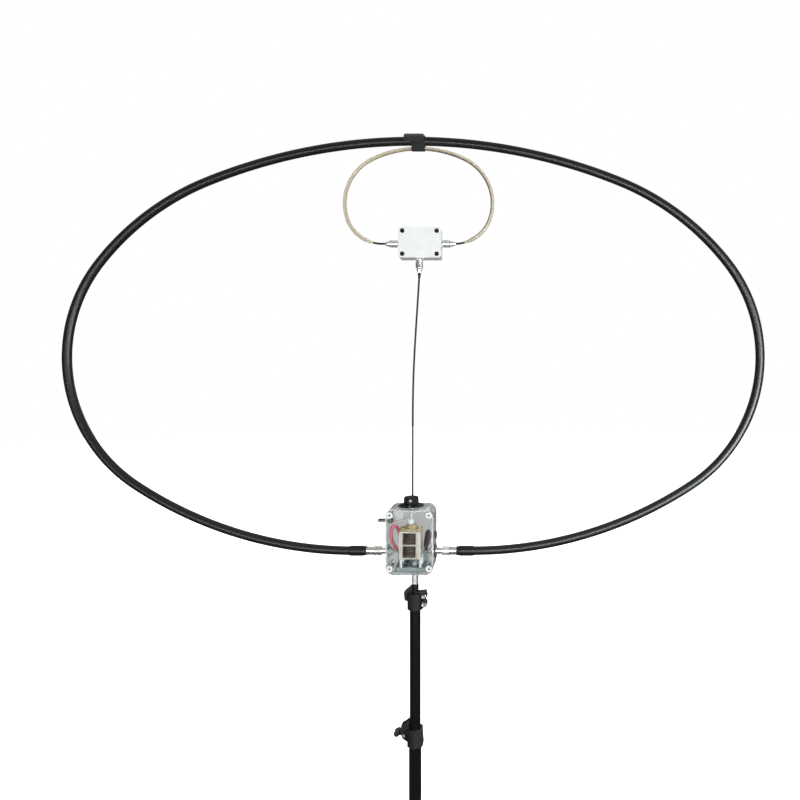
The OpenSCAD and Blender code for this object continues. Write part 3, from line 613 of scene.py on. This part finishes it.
def cad(node, mat, bevel=0.3, seg=2, angle=32):
    """a CAD node keeps its shape; its edges are broken by a small bevel (mm)"""
    o = NODES[node]
    o.data.materials.clear()
    o.data.materials.append(K[mat])
    w = o.modifiers.new("weld", "WELD")
    w.merge_threshold = 2e-6
    d = o.modifiers.new("planar", "DECIMATE")
    d.decimate_type = "DISSOLVE"
    d.angle_limit = radians(0.6)
    if bevel:
        b = o.modifiers.new("bevel", "BEVEL")
        b.width = bevel * MM
        b.segments = seg
        b.limit_method = "ANGLE"
        b.angle_limit = radians(angle)
        b.use_clamp_overlap = True
        b.miter_outer = "MITER_ARC"
    n = o.modifiers.new("normals", "WEIGHTED_NORMAL")
    n.keep_sharp = True
    n.weight = 80
    return o


# ------------------------------------------------------------------ cables
def arc(c, r, a0, a1, step=1.5):
    n = max(3, int(abs(radians(a1 - a0)) * r / step))
    return [(c[0] + r * cos(radians(a0 + (a1 - a0) * i / n)), c[1] + r * sin(radians(a0 + (a1 - a0) * i / n))) for i in range(n + 1)]


def half_oval(x0, z0, parts, t0=0.0):
    """half an oval from its bottom end: (radius, turn in degrees) arcs, closed by a top arc"""
    h, p = 0.0, (x0, z0)
    out = []
    for r, turn in parts:
        c = (p[0] - r * sin(radians(h)), p[1] + r * cos(radians(h)))
        out += arc(c, r, h + (0 if out else t0) - 90, h + turn - 90)
        h += turn
        p = (c[0] + r * sin(radians(h)), c[1] - r * cos(radians(h)))
    r = p[0] / sin(radians(h))
    c = (0, p[1] + r * cos(radians(h)))
    out += arc(c, r, h - 90, 90)
    return out


def oval_path(half, mx, l_end, r_end):
    z = half[0][1]
    pts = [Vector((r_end, 0, z))] + [Vector((mx + x, 0, y)) for x, y in half] + [Vector((mx - x, 0, y)) for x, y in reversed(half[:-1])] + [Vector((l_end, 0, z))]
    keep = [pts[0]]
    for p in pts[1:]:
        if (p - keep[-1]).length > 0.05:
            keep.append(p)
    return keep


def spline(pts, k=12):
    out = []
    n = len(pts) - 1
    for i in range(n):
        a, b, c, d = pts[max(i - 1, 0)], pts[i], pts[i + 1], pts[min(i + 2, n)]
        for j in range(k):
            t = j / k
            out.append(0.5 * (2 * b + (c - a) * t + (2 * a - 5 * b + 4 * c - d) * t * t + (3 * b - a - 3 * c + d) * t ** 3))
    out.append(pts[n])
    return out


def corrugated(s, a):
    """shallow spiral ribs of the feeder cable showing through its jacket"""
    w = 0.5 + 0.5 * cos(2 * pi * s / 4.2 + a)
    return 7.6 + 0.06 * w ** 0.7 + 0.05 * mnoise.noise(Vector((s * 0.05, 2 * cos(a), 2 * sin(a))))


main_half = half_oval(105, 548, [(702, 33.4), (271, 94.4), (462, 30.1)])
main_path, main_len = resample(oval_path(main_half, -3, -89.3, 77.3), 0.7)
loop = tube("loop_cable_jacket", main_path, corrugated, 28, K["black_jacket"])
done(loop, "antenna", "black_jacket", "loop_cable")

COUP = [(66, 74.5), (87, 80)]
coup_r = half_oval(64, 1091, COUP, 15)
coup_l = half_oval(64, 1091, COUP, 14)
cpts = [Vector((6 + x, 0, z)) for x, z in coup_r] + [Vector((6 - x, 0, z)) for x, z in reversed(coup_l[:-1])]
ckeep = [cpts[0]]
for q in cpts[1:]:
    if (q - ckeep[-1]).length > 0.05:
        ckeep.append(q)
coup_path, coup_len = resample(ckeep, 1.5)


def tube_r(s, a):
    """the tube is drawn down on to its tails at both ends"""
    e = min(1.0, min(s, coup_len - s) / 16)
    return 2.05 + 1.28 * (3 * e * e - 2 * e ** 3) + 0.03 * mnoise.noise(Vector((s * 0.04, cos(a), sin(a))))


coup = tube("coupling_tube", coup_path, tube_r, 36, K["tan_jacket"])
done(coup, "antenna", "tan_jacket", "coupling_cable")
core = tube("coupling_core", coup_path[1:-1], 1.75, 20, K["pale_core"])
done(core, "antenna", "tan_jacket")

FEED = [(7.4, 0, 1044), (7.4, 0, 1036), (5, 1, 1000), (1.8, 3, 955), (-2, 6, 900), (-4.6, 9, 850), (-6, 12, 800), (-6.6, 15, 750), (-7, 17, 700),
        (-7.4, 19, 660), (-7.4, 19.5, 640), (-7.4, 19.5, 622), (-8.4, 19, 611), (-12, 17, 604), (-18, 14, 602), (-25.4, 10.6, 600.4), (-32.6, 8, 600), (-40, 8, 600)]
feed_path, feed_len = resample(spline([Vector(p) for p in FEED]), 1.0)


def boot(s, a):
    """the lead with the short dark boot behind its plug"""
    if s < 5.3:
        return 1.7
    if s < 14:
        return 2.7 - 0.09 * max(0.0, s - 8) - (0.35 if s > 8 and int((s - 8) / 1.0) % 2 else 0.0)
    return 1.7


strip_at = next(i for i, q in enumerate(feed_path) if q.z < 617)
feed_core = tube("feed_lead_core", feed_path[strip_at - 4:], 0.95, 16, K["pale_core"])
done(feed_core, "antenna", "black_jacket")
feed = tube("feed_lead_coax", feed_path[:strip_at], boot, 20, K["lead_jacket"])
done(feed, "antenna", "black_jacket", "feed_lead")

RED = [(-32, 0, 548), (-32.6, -1, 552), (-35.2, -3, 558), (-39, -5, 566), (-40.8, -6, 576), (-40.4, -5.4, 586), (-37, -3, 592.4), (-32.8, 0.5, 590), (-30.6, 4.5, 584), (-29.1, 7.4, 578.5), (-28.4, 8.3, 574.4)]
BLACK = [(20, 0, 548), (19.4, -1, 551.5), (21, -4, 558), (24.4, -5, 566), (25.6, -4, 576), (23.8, 0, 582.5), (20.4, 4, 579), (18.6, 7, 570), (17, 8.3, 560), (16.4, 8.3, 552.4)]
for nm, route, mt, sl in (("red_lead", RED, "red_insulation", "red_insulation"), ("black_lead", BLACK, "brown_insulation", "black_jacket")):
    p, ln = resample(spline([Vector(q) for q in route]), 0.8)

    def lead_r(s, a, ln=ln):
        e = min(s, ln - s)
        return 1.5 + 1.45 * min(1.0, max(0.0, (e - 1.2) / 1.2)) + 0.04 * mnoise.noise(Vector((s * 0.3, cos(a), sin(a))))

    o = tube(nm + "_wire", p, lead_r, 24, K[mt])
    done(o, "antenna", sl, nm)
    for q, d in ((p[0], p[1] - p[0]), (p[-1], p[-2] - p[-1])):
        b = lathe(nm + "_solder_%d" % (0 if q is p[0] else 1), smooth_prof([(0.001, -1.6), (1.7, -1.3), (2.1, 0.0), (1.75, 1.2), (1.5, 2.0), (0.001, 2.1)], 0.6), 20, K["solder"],
                  Matrix.Translation(q) @ d.to_track_quat("Z", "Y").to_matrix().to_4x4(), lambda r, h, a: r * (1 + 0.1 * mnoise.noise(Vector((cos(a), sin(a), h)))))
        done(b, "antenna", "steel")


# ------------------------------------------------------------------ CAD pieces that keep their shape
for node, mat, bev in [
    ("mast_lower_tube", "black_paint", 0.4), ("mast_upper_tube", "black_paint", 0.3), ("mast_collar", "black_plastic", 0.9), ("collar_lever", "black_plastic", 0.8),
    ("lever_pin", "steel", 0.25), ("mast_head", "black_plastic", 0.8), ("head_bolts", "nickel", 0.3), ("head_nuts", "steel", 0.3),
    ("adapter_stud", "steel", 0.4), ("adapter_nut", "steel", 0.3), ("base_plate", "grey_plate", 0.5), ("plate_bolts", "dark_steel", 0.25),
    ("capacitor_standoffs", "aluminium", 0.2), ("lid_gasket", "grey_silicone", 0.15),
    ("lid_screws", "nylon_screw", 0.3), ("capacitor_frame", "cream_frame", 0.3), ("stator_upper", "plate_metal", 0.1), ("stator_lower", "plate_metal", 0.1),
    ("stator_insulators", "ceramic", 0.25), ("capacitor_rotor", "plate_metal", 0.1), ("drive_balls", "steel", 0), ("drive_body", "brass", 0.4),
    ("drive_screws", "steel", 0.2), ("drive_input", "steel", 0.2), ("shaft_coupler", "nylon", 0.4), ("knob_shaft", "steel", 0.3), ("shaft_bush", "steel", 0.25),
    ("knob_set_screw", "dull_nickel", 0.15), ("loop_jacks", "nickel", 0.3), ("jack_gaskets", "black_rubber", 0.4), ("jack_nuts", "nickel", 0.3),
    # painted highlight: the right loop nut takes the lighter bright_nickel and the left one nickel, so the right nut
    # shows as more strongly lit
    ("loop_plugs", "nickel", 0.3), ("loop_nut_left", "nickel", 0.35), ("loop_nut_right", "bright_nickel", 0.35),
    ("coupling_jacks", "bright_nickel", 0.25), ("coupling_plugs", "bright_nickel", 0.25), ("feed_plug", "bright_nickel", 0.25), ("coupling_ring_left", "bright_nickel", 0.2),
    ("coupling_ring_right", "bright_nickel", 0.2), ("feed_ring", "bright_nickel", 0.2), ("coupling_box_body", "white_plastic", 0.8), ("coupling_box_lid", "white_plastic", 1.1),
    ("coupling_box_screws", "dark_steel", 0.25), ("balun_core", "ferrite", 0.5), ("balun_winding", "copper", 0), ("lead_grommet", "black_rubber", 0.3),
    ("side_plug", "black_rubber", 0.3), ("coupling_tails", "lead_jacket", 0.1),
]:
    cad(node, mat, bev)


# ------------------------------------------------------------------ pieces rebuilt in detail
def rod(name, a, b, r, segs=48, mat=None):
    a, b = Vector(a), Vector(b)
    d = b - a
    return lathe(name, [(0.0005, 0), (r, 0), (r, d.length), (0.0005, d.length)], segs, mat or K["steel"], Matrix.Translation(a) @ d.to_track_quat("Z", "Y").to_matrix().to_4x4())


def cut(o, *cutters):
    """takes the cutters out of o and removes them"""
    for c in cutters:
        b = o.modifiers.new("cut", "BOOLEAN")
        b.operation = "DIFFERENCE"
        b.solver = "EXACT"
        b.object = c
    dg = bpy.context.evaluated_depsgraph_get()
    me = bpy.data.meshes.new_from_object(o.evaluated_get(dg))
    o.modifiers.clear()
    o.data = me
    for c in cutters:
        bpy.data.objects.remove(c)
    return o


# clear box and lid: thin moulded shells with rounded edges
BX, BZ, BW, BH, BT = -6.0, 571.0, 82.6, 114.0, 2.6


def rr_loop(inset, y, r=14.0, n=12):
    """a rounded rectangle at depth y, drawn in by inset"""
    rr, out = r - inset, []
    for cx, cz, a0 in ((1, 1, 0), (-1, 1, 90), (-1, -1, 180), (1, -1, 270)):
        for i in range(n + 1):
            a = radians(a0 + 90 * i / n)
            out.append(Vector((BX + cx * (BW / 2 - r) + rr * cos(a), y, BZ + cz * (BH / 2 - r) + rr * sin(a))))
    return out


def shell(name, rim, face, sgn, fillet, mat):
    """an open-backed shell from its rim to its face; sgn is the way from rim to face along Y"""
    outer = [(fillet * (1 - cos(radians(a))), face - sgn * fillet * (1 - sin(radians(a)))) for a in (90, 72, 54, 36, 18, 0)]
    f2 = 1.4
    inner = [(BT + f2 * (1 - cos(radians(a))), face - sgn * (BT + 0.2) - sgn * f2 * (1 - sin(radians(a)))) for a in (0, 18, 36, 54, 72, 90)]
    loops = [rr_loop(*v) for v in outer] + [rr_loop(0, rim + sgn * 0.5), rr_loop(0.15, rim + sgn * 0.15), rr_loop(0.5, rim), rr_loop(BT - 0.5, rim), rr_loop(BT - 0.15, rim + sgn * 0.15), rr_loop(BT, rim + sgn * 0.5)] + [rr_loop(*v) for v in inner]
    m = len(loops[0])
    verts = [v * MM for lp in loops for v in lp]
    faces = [tuple(range(m))]
    for i in range(len(loops) - 1):
        for j in range(m):
            k = (j + 1) % m
            faces.append((i * m + j, (i + 1) * m + j, (i + 1) * m + k, i * m + k))
    faces.append(tuple((len(loops) - 1) * m + j for j in reversed(range(m))))
    o = finish_mesh(name, verts, faces, mat)
    bm = bmesh.new()
    bm.from_mesh(o.data)
    bmesh.ops.remove_doubles(bm, verts=bm.verts, dist=1e-7)
    bmesh.ops.recalc_face_normals(bm, faces=bm.faces)
    bm.to_mesh(o.data)
    bm.free()
    return o


def join(o, *adders):
    """adds the adders to o as one solid and removes them"""
    for c in adders:
        b = o.modifiers.new("join", "BOOLEAN")
        b.operation = "UNION"
        b.solver = "EXACT"
        b.object = c
    dg = bpy.context.evaluated_depsgraph_get()
    me = bpy.data.meshes.new_from_object(o.evaluated_get(dg))
    o.modifiers.clear()
    o.data = me
    for c in adders:
        bpy.data.objects.remove(c)
    return o


CP = K["clear_plastic"]
corners = [(BX + i * 34, BZ + j * 46) for i in (-1, 1) for j in (-1, 1)]
lid = shell("clear_lid", -18.8, -30.0, -1, 2.0, CP)
join(lid, *[rod("boss", (x, -28.3, z), (x, -18.81, z), 6.2, 48, CP) for x, z in corners])
cut(lid, *[rod("hole", (x, -31, z), (x, -18, z), 2.2, 32, CP) for x, z in corners], *[rod("recess", (x, -31, z), (x, -27.2, z), 5.5, 48, CP) for x, z in corners])
sharp_by_angle(lid, 14)
done(lid, "antenna", "clear_plastic", "enclosure_lid")
tub = shell("clear_box", -18.0, 25.0, 1, 2.0, CP)
join(tub, *[rod("boss", (x, -17.99, z), (x, 23.6, z), 5.4, 48, CP) for x, z in corners])
cut(tub, *[rod("hole", (x, -19, z), (x, -4, z), 1.9, 32, CP) for x, z in corners],
    rod("hole", (BX - 60, 0, 548), (BX + 60, 0, 548), 5.6, 48, CP), rod("hole", (BX - 60, 8, 600), (BX - 30, 8, 600), 3.3, 48, CP),
    rod("hole", (BX + 30, 4, 575), (BX + 60, 4, 575), 4.6, 48, CP), rod("hole", (0, 0, 513), (0, 0, 519), 3.3, 48, CP),
    *[rod("hole", (-3.6 + i * 11.5, j, 514.2), (-3.6 + i * 11.5, j, 519), 1.55, 32, CP) for i in (-1, 1) for j in (-8, 14.5)],
    rod("hole", (-6, -6, 623), (-6, -6, 629), 4.75, 48, CP), rod("hole", (-7.4, 19.5, 623), (-7.4, 19.5, 629), 2.7, 32, CP))
sharp_by_angle(tub, 14)
done(tub, "antenna", "clear_plastic", "enclosure_base")

# tuning knob: wide skirt, fluted grip, set screw hole, white dot
SX, SY = -6.0, -6.0
grip = [(13.22 - 0.5 * t, 633.4 + 10.1 * t) for t in [i / 14 for i in range(15)]]
knob_prof = [(0.0005, 641.2), (3.02, 641.2), (3.02, 632), (7.6, 632), (7.6, 629), (21.5, 629), (21.85, 629.12), (21.98, 629.4), (21.98, 630.3), (21.8, 630.62), (21.3, 630.8),
             (17.5, 631.65), (15.4, 632.2), (14.4, 632.5), (13.7, 632.9)] + grip + [(12.5, 644.0), (12.1, 644.55), (11.5, 644.85), (10.9, 645), (10.4, 644.92), (10.1, 644.6), (9.9, 644.3), (9.6, 644.2), (4.0, 644.2), (0.0005, 644.2)]


def flute(r, h, a):
    if 633.3 < h < 643.8 and r > 11.8:
        f = min(1.0, (h - 633.3) / 1.1, (643.8 - h) / 1.1)
        return r - 0.62 * f * (0.5 - 0.5 * cos(28 * a)) ** 0.7
    return r


knob = lathe("tuning_knob_body", knob_prof, 336, K["knob_plastic"], Matrix.Translation((SX, SY, 0)), flute)
cut(knob, rod("knob_cutter", (SX + 0.5, SY - 15.5, 639.5), (SX + 0.5, SY - 2, 639.5), 2.52))
sharp_by_angle(knob, 40)
done(knob, "knob", "black_plastic", "tuning_knob")
dot = lathe("knob_dot", [(0.0005, 0.22), (0.8, 0.2), (1.0, 0.1), (1.05, -0.1)], 24, K["index_paint"],
            Matrix.Translation((SX, SY - 18.4, 631.45)) @ Matrix.Rotation(radians(12.6), 4, "X"))
done(dot, "knob", "white_plastic")

# heat-shrink sleeves, drawn down over plug and cable
sleeve_prof = [(7.32, 33.0), (7.32, 36.9), (8.1, 37.6), (8.1, 63.3), (8.22, 63.4), (8.45, 63.2), (8.5, 62.6), (8.6, 61.5)]
sleeve_prof += [(8.88, 60 - 0.75 * k) for k in range(26)] + [(8.82, 40.2), (8.65, 39.2), (8.4, 38.2), (8.25, 37.2), (8.12, 36.2), (8.06, 35), (8.02, 34), (7.95, 33.3), (7.7, 33.0), (7.32, 33.0)]
for sd, x0 in ((-1, -52.3), (1, 40.3)):
    def wrinkle(r, h, a, sd=sd):
        if r < 7.6 or (8.05 < r < 8.3 and h > 37.4):
            return r
        v = Vector((h * 0.22 + sd * 9, 1.6 * cos(a), 1.6 * sin(a)))
        w = mnoise.noise(v) * 0.1 + mnoise.noise(v * 3.1) * 0.05
        ridge = 0.1 * max(0.0, 1 - abs(a - 2.4 - 0.02 * h) * 5)
        bands = 0.2 * (0.5 + 0.5 * cos(2 * pi * h / 3.0)) if 42 < h < 59 else 0.0
        return min(r + w + ridge, 9.0) - bands

    o = lathe("loop_sleeve_left" if sd < 0 else "loop_sleeve_right", sleeve_prof, 72, K["black_shrink"],
              Matrix.Translation((x0, 0, 548)) @ Matrix.Rotation(sd * pi / 2, 4, "Y"), wrinkle)
    done(o, "antenna", "black_shrink", *(("loop_sleeves",) if sd < 0 else ()))


# hook-and-loop strap: a band round both loops, its long end laid over the front and top
def strip(name, path, across, width, thick, mat, wob, rough=0.1, round_end=0.0):
    """a band of some thickness along path (mm points); across is its width's direction"""
    n, cols = len(path), 34
    verts, faces, uv = [], [], []
    acc = [0.0]
    for a, b in zip(path, path[1:]):
        acc.append(acc[-1] + (b - a).length)
    for lay in (0, 1):
        for i, q in enumerate(path):
            t = (path[min(i + 1, n - 1)] - path[max(i - 1, 0)]).normalized()
            nr = across.cross(t).normalized()
            w0, w1 = width
            e = wob * mnoise.noise(Vector((acc[i] * 0.12, 3.1, 7.7)))
            end = 0.0
            if round_end:
                d = min(acc[i], acc[-1] - acc[i])
                end = round_end - sqrt(max(0.0, round_end ** 2 - max(0.0, round_end - d) ** 2))
            for j in range(cols):
                x = w0 + end + e + (w1 - w0 - 2 * end) * j / (cols - 1)
                b = rough * mnoise.noise(Vector((x * 0.9, acc[i] * 0.9, 5 * lay))) + rough * 0.6 * mnoise.noise(Vector((x * 2.3, acc[i] * 2.3, 11 + 5 * lay)))
                edge = min(j, cols - 1 - j)
                h = thick * 0.5 * (1 if lay else -1) * (0.55 if edge == 0 else 1.0)
                verts.append((q + across * x + nr * (h + b * (1 if lay else 0.3))) * MM)
    m = n * cols
    for lay in (0, 1):
        for i in range(n - 1):
            for j in range(cols - 1):
                a = lay * m + i * cols + j
                f = (a, a + 1, a + cols + 1, a + cols)
                u = [(acc[i], j), (acc[i], j + 1), (acc[i + 1], j + 1), (acc[i + 1], j)]
                u = [(p * MM, (width[1] - width[0]) * MM * k / (cols - 1)) for p, k in u]
                faces.append(f if lay else tuple(reversed(f)))
                uv.append(u if lay else list(reversed(u)))
    ring = [(0, j) for j in range(cols)] + [(i, cols - 1) for i in range(1, n)] + [(n - 1, j) for j in range(cols - 2, -1, -1)] + [(i, 0) for i in range(n - 2, 0, -1)]
    for (i0, j0), (i1, j1) in zip(ring, ring[1:] + ring[:1]):
        a, b = i0 * cols + j0, i1 * cols + j1
        faces.append((a, b, m + b, m + a))
        uv.append([(acc[i0] * MM, 0), (acc[i1] * MM, 0), (acc[i1] * MM, thick * MM), (acc[i0] * MM, thick * MM)])
    o = finish_mesh(name, verts, faces, mat, uv)
    bm = bmesh.new()
    bm.from_mesh(o.data)
    bmesh.ops.recalc_face_normals(bm, faces=bm.faces)
    bm.to_mesh(o.data)
    bm.free()
    return o


ZT, ZC = 1272.6, 1259.5


def on_arc(r, a0, a1, zc, step=0.7):
    n = max(2, int(abs(radians(a1 - a0)) * (r if isinstance(r, (int, float)) else r(a0)) / step))
    out = []
    for i in range(n + 1):
        a = a0 + (a1 - a0) * i / n
        q = r if isinstance(r, (int, float)) else r(a)
        out.append(Vector((0, q * cos(radians(a)), zc + q * sin(radians(a)))))
    return out


band = on_arc(9.25, 140, -38, ZT) + on_arc(4.5, 0, -180, ZC) + on_arc(lambda a: 9.25, 218, 128, ZT)
band, band_len = resample(band, 0.7)
b = strip("loop_strap_band", band, Vector((1, 0, 0)), (-5.8, 17.8), 1.25, K["strap_pile"], 0.25)
done(b, "antenna", "strap_fabric", "loop_strap")
for k, (r, a0, a1, wd) in enumerate(((10.95, 195, 25, (-18.8, 15.3)), (12.35, 187, 40, (-18.4, 14.9)))):
    flap, flap_len = resample(on_arc(lambda a, r=r: r + 0.25 * sin(radians(a * 2.3)), a0, a1, ZT), 0.7)
    b = strip("loop_strap_end_%d" % (k + 1), flap, Vector((1, 0, 0)), wd, 1.2, K["strap_pile"] if k else K["strap_edge"], 0.3, 0.12, 2.5)
    done(b, "antenna", "strap_fabric")

# small threaded socket on the left wall
place = Matrix.Translation((-47.3, 8, 600)) @ Matrix.Rotation(-pi / 2, 4, "Y")
thread = []
for k in range(25):
    h = 2.7 + 0.68 * k
    thread += [(2.86, h), (3.17, h + 0.22), (3.17, h + 0.34), (2.86, h + 0.56)]
jack_prof = [(1.75, -5.6), (1.75, -7.9), (2.0, -8), (2.95, -8), (3.15, -7.8), (3.15, -5.2), (5.3, -5.2), (5.5, -5.0), (5.5, -2.8), (5.3, -2.64), (3.15, -2.62), (3.15, 2.4)] + thread + [(2.86, 19.7), (2.7, 19.95), (2.5, 20), (2.0, 20), (1.9, 19.9), (1.9, 9.0), (1.75, 9.0), (1.75, -5.6)]
o = lathe("rf_socket_body", jack_prof, 48, K["dull_nickel"], place)
sharp_by_angle(o, 30)
done(o, "antenna", "nickel", "rf_jack")
o = lathe("rf_socket_hex", [(3.2, 0.02), (4.3, 0.02), (4.6, 0.3), (4.6, 2.1), (4.3, 2.4), (3.2, 2.4)], 6, K["dull_nickel"], place)
for q in o.data.polygons:
    q.use_smooth = False
done(o, "antenna", "nickel")
o = lathe("rf_socket_insulator", [(0.65, 9.2), (1.86, 9.2), (1.86, 17.4), (0.65, 17.4), (0.65, 9.2)], 32, K["nylon"], place)
sharp_by_angle(o, 30)
done(o, "antenna", "nickel")
o = lathe("rf_socket_contact", smooth_prof([(0.0005, 8.0), (0.62, 8.0), (0.62, 18.8), (0.35, 19.2), (0.0005, 19.2)], 0.15), 20, K["brass"], place)
done(o, "antenna", "brass")

# ------------------------------------------------------------------ floor, world and light
me = bpy.data.meshes.new("floor")
seg = 96
R = 9.0
me.from_pydata([(0, 0, -0.0005)] + [(R * cos(2 * pi * i / seg), R * sin(2 * pi * i / seg), -0.0005) for i in range(seg)], [], [(0, 1 + i, 1 + (i + 1) % seg) for i in range(seg)])
floor = bpy.data.objects.new("floor", me)
sc.collection.objects.link(floor)
fm = Mat("floor_paper")
paper = fm.ramp(fm.noise(3, 3), [(0.3, (0.86, 0.86, 0.86)), (0.7, (0.9, 0.9, 0.9))])
flp = fm.node("ShaderNodeLightPath")
fseen = fm.math("MAXIMUM", flp.outputs["Is Camera Ray"], fm.math("MULTIPLY", flp.outputs["Is Transmission Ray"], SEEN))
fm.set(base_color=fm.mix(fseen, (0.14, 0.14, 0.14), paper), roughness=0.95, specular_ior_level=0.1)
fm.set(emission_color=(1, 1, 1), emission_strength=fm.rng(fseen, 0.02, 0.95))
me.materials.append(fm.m)

world = bpy.data.worlds.new("studio")
sc.world = world
world.use_nodes = True
nt = world.node_tree
nt.nodes.clear()


def wn(kind, **props):
    n = nt.nodes.new(kind)
    for k, v in props.items():
        setattr(n, k, v)
    return n


# white to the camera; to the object a dim front, a brighter back and top
wo = wn("ShaderNodeOutputWorld")
bg_cam = wn("ShaderNodeBackground")
bg_cam.inputs[0].default_value = (1, 1, 1, 1)
bg_cam.inputs[1].default_value = 1.0
bg_env = wn("ShaderNodeBackground")
tc = wn("ShaderNodeTexCoord")
sep = wn("ShaderNodeSeparateXYZ")
nt.links.new(tc.outputs["Generated"], sep.inputs[0])
yr = wn("ShaderNodeMapRange")
yr.inputs["From Min"].default_value = -0.6
yr.inputs["From Max"].default_value = 0.7
yr.inputs["To Min"].default_value = ENV_FRONT
yr.inputs["To Max"].default_value = ENV_BACK
nt.links.new(sep.outputs[1], yr.inputs["Value"])
zr = wn("ShaderNodeMapRange")
zr.inputs["From Min"].default_value = 0.15
zr.inputs["From Max"].default_value = 0.75
zr.inputs["To Min"].default_value = 0.0
zr.inputs["To Max"].default_value = ENV_TOP
nt.links.new(sep.outputs[2], zr.inputs["Value"])
add = wn("ShaderNodeMath", operation="ADD")
nt.links.new(yr.outputs[0], add.inputs[0])
nt.links.new(zr.outputs[0], add.inputs[1])
bg_env.inputs[0].default_value = (1, 1, 1, 1)
lp = wn("ShaderNodeLightPath")
dim = wn("ShaderNodeMapRange")
dim.inputs["To Min"].default_value = 1.0
dim.inputs["To Max"].default_value = ENV_GLINT
nt.links.new(lp.outputs["Is Glossy Ray"], dim.inputs["Value"])
lit = wn("ShaderNodeMath", operation="MULTIPLY")
nt.links.new(add.outputs[0], lit.inputs[0])
nt.links.new(dim.outputs[0], lit.inputs[1])
nt.links.new(lit.outputs[0], bg_env.inputs[1])
mx = wn("ShaderNodeMixShader")
seen = wn("ShaderNodeMath", operation="MULTIPLY")
nt.links.new(lp.outputs["Is Transmission Ray"], seen.inputs[0])
seen.inputs[1].default_value = SEEN
most = wn("ShaderNodeMath", operation="MAXIMUM")
nt.links.new(lp.outputs["Is Camera Ray"], most.inputs[0])
nt.links.new(seen.outputs[0], most.inputs[1])
nt.links.new(most.outputs[0], mx.inputs[0])
nt.links.new(bg_env.outputs[0], mx.inputs[1])
nt.links.new(bg_cam.outputs[0], mx.inputs[2])
nt.links.new(mx.outputs[0], wo.inputs[0])


def area(name, loc, target, size, power, size_y=None):
    l = bpy.data.lights.new(name, "AREA")
    l.energy = power
    l.size = size
    if size_y:
        l.shape = "RECTANGLE"
        l.size_y = size_y
    o = bpy.data.objects.new(name, l)
    sc.collection.objects.link(o)
    o.location = loc
    o.rotation_euler = (Vector(target) - Vector(loc)).to_track_quat("-Z", "Y").to_euler()
    o.visible_camera = False
    return o


# three lamps that only glint, four that only light, one from behind
for lamp in (area("streak", (0.75, -0.45, 0.75), (-0.5, 0, 0.85), 0.3, 11, 0.5), area("low_right", (0.65, -1.15, 0.6), (0.55, 0, 0.66), 1.0, 21, 0.24),
             area("low_left", (-0.45, -1.15, 0.6), (-0.35, 0, 0.66), 1.2, 10, 0.24)):
    lamp.data.color = (0.93, 1.0, 0.97)
    lamp.visible_diffuse = False
    lamp.visible_transmission = False
for lamp in (area("key", (1.5, -1.2, 1.3), (0, 0, 0.85), 0.6, 13, 1.1), area("fill", (-0.3, -2.0, 1.6), (0, 0, 0.9), 1.2, 13), area("top", (0.1, -0.2, 3.0), (0, 0, 0.6), 1.6, 4),
             area("under", (-0.1, -0.9, 0.05), (-0.1, 0, 1.0), 1.6, 8, 0.5)):
    lamp.visible_glossy = False
    lamp.visible_transmission = False
area("back", (0.5, 2.4, 1.9), (0, 0, 0.8), 1.4, 6)
